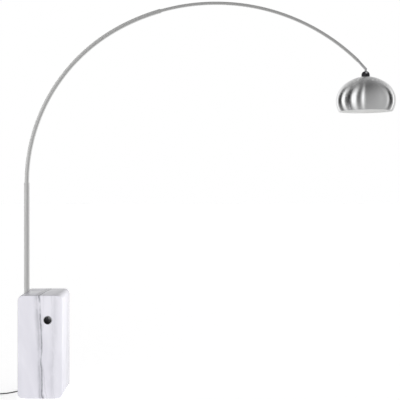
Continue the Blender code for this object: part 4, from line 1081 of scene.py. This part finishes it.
def makeFootSwitch():
    look = switchLook
    length, width, wall, button = (look[key] for key in ("length", "width", "wall", "button"))
    inLength, inWidth = length - 2 * wall, width - 2 * wall
    ends = []
    for cad in ("foot_switch_base", "foot_switch_cover"):
        size, low = spot(cad)[1:]
        ends += [low.z, low.z + size.z]
    trayLow, trayTop, coverLow, coverTop = ends
    tray = layOnFloor(longShape(length, width, trayLow, trayTop, look["seamEdge"], look["bottomEdge"]))
    tray = carve(tray, [layOnFloor(longShape(inLength, inWidth, trayLow + wall, trayTop + 0.01))])
    standIn("foot_switch_base", tray, "plastic")

    cover = longShape(length, width, coverLow, coverTop, look["topEdge"], look["seamEdge"])
    dishLow, dishTop = coverTop - look["dishDepth"], coverTop + 0.0002
    cutters = [longShape(inLength, inWidth, coverLow - 0.01, coverTop - wall, look["roomEdge"]),
               cylinder((0, 0, 0), (0, 0, 0.05), button + look["fit"], 72),
               lathe([(0, dishLow), (button + 0.0022, dishLow), (button + 0.003, dishTop), (0, dishTop)], origin, 72)]
    reach, deep = look["grooveWidth"] / 2, coverTop - look["grooveDepth"]
    for side in (-1, 1):
        for i in range(look["grooves"]):
            x = side * (look["firstGroove"] + look["groovePitch"] * i)
            half = look["grooveHalf"] - look["grooveTaper"] * i
            cutters.append(block((x - reach, -half, deep), (x + reach, half, coverTop + 0.01)))
    standIn("foot_switch_cover", layOnFloor(carve(cover, cutters)), "plastic")

    middle, size, low = spot("foot_switch_button")
    flange, seat, top = size.x / 2, low.z + look["flange"], low.z + size.z
    rim, hollow = button * 0.88, look["hollow"]
    rings = [button * 0.86 * cos(pi / 2 * i / 10) for i in range(1, 10)]
    outline = [(0, low.z), (flange, low.z), (flange, seat), (button, seat), (button, top - 0.0012),
               (button - 0.0004, top - 0.0004), (button - 0.0012, top), (rim, top)]
    outline += [(r, top - hollow * (1 - (r / rim) ** 2)) for r in rings] + [(0, top - hollow)]
    bm = lathe(outline, (middle.x, middle.y, 0), 72)
    standIn("foot_switch_button", bm, "plastic")


makeFootSwitch()
print("foot switch ready")


# ---------- plug ----------

plugLook = {"edge": 0.0026, "sharp": 0.9, "flatten": 0.26, "sleeve": 0.01, "tail": 0.016, "lift": 0.0002,
            "grips": 5, "gripRadius": 0.0015, "firstGrip": 0.014, "gripPitch": 0.0032, "gripOut": 0.0006}


def makePlug():
    middle, size, low = spot("plug_body")
    start, end, back = low.x + plugLook["tail"], low.x + size.x, low.x
    half, thick = size.y / 2, low.z + size.z
    bm = bmesh.new()
    shape = [(end, -half), (end, half), (start + 0.01, half), (start + 0.004, half * 0.8),
             (start - 0.001, half * 0.5), (back + 0.006, 0.0053), (back, 0.0048)]
    shape += [(x, -y) for x, y in reversed(shape[2:])]
    outline = [bm.verts.new((x, middle.y + y, plugLook["lift"])) for x, y in shape]
    move(bm, (0, 0, thick - plugLook["lift"]), extrude(bm, [bm.faces.new(outline)])[1])
    tidyNormals(bm)
    for v in [v for v in bm.verts if v.co.x < start]:
        fade = ease((start - v.co.x) / (start - back))
        v.co.z = thick / 2 + (v.co.z - thick / 2) * (1 - plugLook["flatten"] * fade)
    bevel(bm, [e for e in bm.edges if e.calc_face_angle(0) > plugLook["sharp"]], plugLook["edge"], 5)
    cutters = []
    for i in range(plugLook["grips"]):
        x = start + plugLook["firstGrip"] + plugLook["gripPitch"] * i
        for side in (-1, 1):
            y = middle.y + side * (half + plugLook["gripOut"])
            cutters.append(cylinder((x, y, -0.002), (x, y, thick + 0.002), plugLook["gripRadius"], 20))
    standIn("plug_body", carve(bm, cutters), "plastic")
    for cad in ("plug_pin_left", "plug_pin_right"):
        middle, size, low = spot(cad)
        radius, long, sleeve = size.y / 2, size.x, plugLook["sleeve"]
        outline = [(0, 0), (radius, 0), (radius, sleeve), (radius, sleeve + 0.0001)]
        outline += [(radius * cos(a), long - radius * 0.8 + radius * 0.8 * sin(a))
                    for a in [pi / 2 * i / 8 for i in range(8)]]
        bm = lathe(outline + [(0, long)], (low.x, middle.y, middle.z), 36, "X")
        for face in bm.faces:
            face.material_index = 1 if face.calc_center_median().x < low.x + sleeve else 0
        standIn(cad, bm, "nickel", 35, "plastic")


makePlug()


# ---------- tie on the coil ----------

tieLook = {"angle": 135.0, "width": 0.009, "wall": 0.0009, "inside": 0.0226, "outside": 0.0408, "top": 0.0131,
           "bottom": 0.00002, "roomBottom": 0.00025, "corner": 0.003, "roomCorner": 0.0024,
           "tabFrom": 0.002, "tabInset": 0.0006, "tabThickness": 0.0008, "tabEdge": 0.0003}


def makeTie():
    # a strap round the bundle of turns, thin where the coil lies on it
    wall, low, high, across = tieLook["wall"], tieLook["inside"], tieLook["outside"], tieLook["width"] / 2
    middle, over = (low + high) / 2, tieLook["top"] + wall
    strap = block((low - wall, -across, tieLook["bottom"]), (high + wall, across, over))
    bevel(strap, edgesAlong(strap, 1, across), tieLook["corner"], 6)
    room = block((low, -0.02, tieLook["roomBottom"]), (high, 0.02, tieLook["top"]))
    bevel(room, edgesAlong(room, 1, 0.02), tieLook["roomCorner"], 6)
    inset = across - tieLook["tabInset"]
    tab = block((middle - tieLook["tabFrom"], -inset, over), (high + wall, inset, over + tieLook["tabThickness"]),
                tieLook["tabEdge"])
    bm = carve(carve(strap, [room]), [tab], "UNION")
    turn(bm, radians(tieLook["angle"]), "Z")
    move(bm, (*cordSetup["coilCentre"], 0))
    return addPiece("coilTie", bm, "strap", "cord_coil", (), 35)


coilTie = makeTie()
print("plug and coil tie ready")


# ---------- finishes on the CAD nodes that stay ----------

keptNodes = {
    "felt": ["felt_underlay"],
    "zinc": ["tie_bolt", "tie_washer", "post_foot_plug", "threaded_nipple", "cap_washer", "cap_nut", "holder_nut"],
    "lead": ["post_cable", "lower_arc_cable", "upper_arc_cable", "head_cable"],
    "ceramic": ["lampholder_insert", "switch_contact_block"],
}
for finish, cads in keptNodes.items():
    for cad in cads:
        for materialSlot in bpy.data.objects[cad].material_slots:
            materialSlot.material = finishes[finish]
print("CAD nodes finished")


# ---------- floor and light ----------

studioLook = {
    "floorColour": 0.6, "floorGlow": 0.73, "floorRoughness": 0.9, "floorSize": 30.0,
    "fill": 0.02, "fromRight": 2.4, "fromFront": 1.45, "rightAlongX": 0.9, "rightAlongY": 0.42,
    "lowness": 0.82, "overhead": 0.2, "underfoot": 0.42,
}

# soft boxes and dark gaps round the lamp, in degrees clockwise from straight behind it, and how bright
studioRing = [
    (0, 0.85), (24, 0.95), (31, 0.6), (38, 0.9), (52, 0.46), (63, 1.45), (70, 0.25), (75, 0.01), (89, 0.01),
    (94, 0.29), (98, 0.95), (104, 0.66), (109, 0.42), (130, 0.46), (154, 0.39), (180, 0.33), (190, 0.3),
    (196, 0.42), (200, 0.85), (204, 1.4), (208, 1.1), (212, 0.44), (216, 0.16), (223, 0.1), (227, 0.16),
    (231, 0.65), (235, 1.4), (248, 1.45), (252, 0.53), (256, 0.08), (259, 0.01), (274, 0.01), (278, 0.05),
    (281, 0.3), (285, 1.3), (291, 1.45), (297, 1.4), (302, 0.25), (307, 0.01), (319, 0.01), (326, 0.35),
    (334, 1.1), (341, 1.05), (350, 0.75), (360, 0.85),
]


def grey(level):
    return (level, level, level, 1)


def makeFloor():
    bm = bmesh.new()
    bmesh.ops.create_grid(bm, x_segments=1, y_segments=1, size=studioLook["floorSize"] / 2)
    mesh = toMesh("studioFloor", bm)
    floor = newObject("studioFloor", mesh)
    made = bpy.data.materials.new("paleFloor")
    made.use_nodes = True
    tree = made.node_tree
    setIn(tree.nodes["Principled BSDF"], Base_Color=grey(studioLook["floorColour"]),
          Roughness=studioLook["floorRoughness"], Emission_Color=grey(1),
          Emission_Strength=studioLook["floorGlow"])
    mesh.materials.append(made)
    floor.visible_glossy = False


def makeStudio():
    world = bpy.data.worlds.new("softStudio")
    bpy.context.scene.world = world
    world.use_nodes = True
    world.cycles.sampling_method = "NONE"
    tree = world.node_tree
    x, y, z = split(node(tree, "TexCoord").outputs["Generated"])

    # what shiny surfaces see: the ring, dimmer overhead, and a plain grey below
    around = calc("FRACT", plus(calc("DIVIDE", calc("ARCTAN2", x, y), 2 * pi), 1.0))
    halves = []
    for start in (0, 180):
        stops = [((a - start) / 180, level) for a, level in studioRing if start <= a <= start + 180]
        halves.append(ramp(minus(times(around, 2.0), start / 180), stops))
    ring = blend(calc("GREATER_THAN", around, 0.5), *halves)
    up = ramp(z, [(0.0, 1.0), (0.42, 0.95), (0.8, 0.56), (1.0, studioLook["overhead"])])
    shaded = blend(1.0, ring, up, "MULTIPLY")
    down = ramp(times(z, -1.0), [(0.0, 0.0), (0.5, 0.55), (1.0, 1.0)])
    below = setIn(node(tree, "SeparateColor"), Color=down).outputs[0]
    seen = blend(below, shaded, grey(studioLook["underfoot"]))

    # what lights the matt ones: low soft light from the right and the front
    sideways = plus(times(x, studioLook["rightAlongX"]), times(y, studioLook["rightAlongY"]))
    right = times(calc("MAXIMUM", sideways, 0.0), studioLook["fromRight"])
    front = times(calc("MAXIMUM", times(y, -1.0), 0.0), studioLook["fromFront"])
    low = calc("SUBTRACT", 1.0, times(z, studioLook["lowness"]), clamp=True)
    soft = plus(times(plus(right, front), low), studioLook["fill"])
    path = node(tree, "LightPath").outputs
    lit = blend(path["Is Diffuse Ray"], seen, soft)
    setIn(tree.nodes["Background"], Color=blend(path["Is Camera Ray"], lit, grey(1)))
    bpy.context.scene.view_settings.view_transform = "Standard"


makeFloor()
makeStudio()
print("floor and light ready")
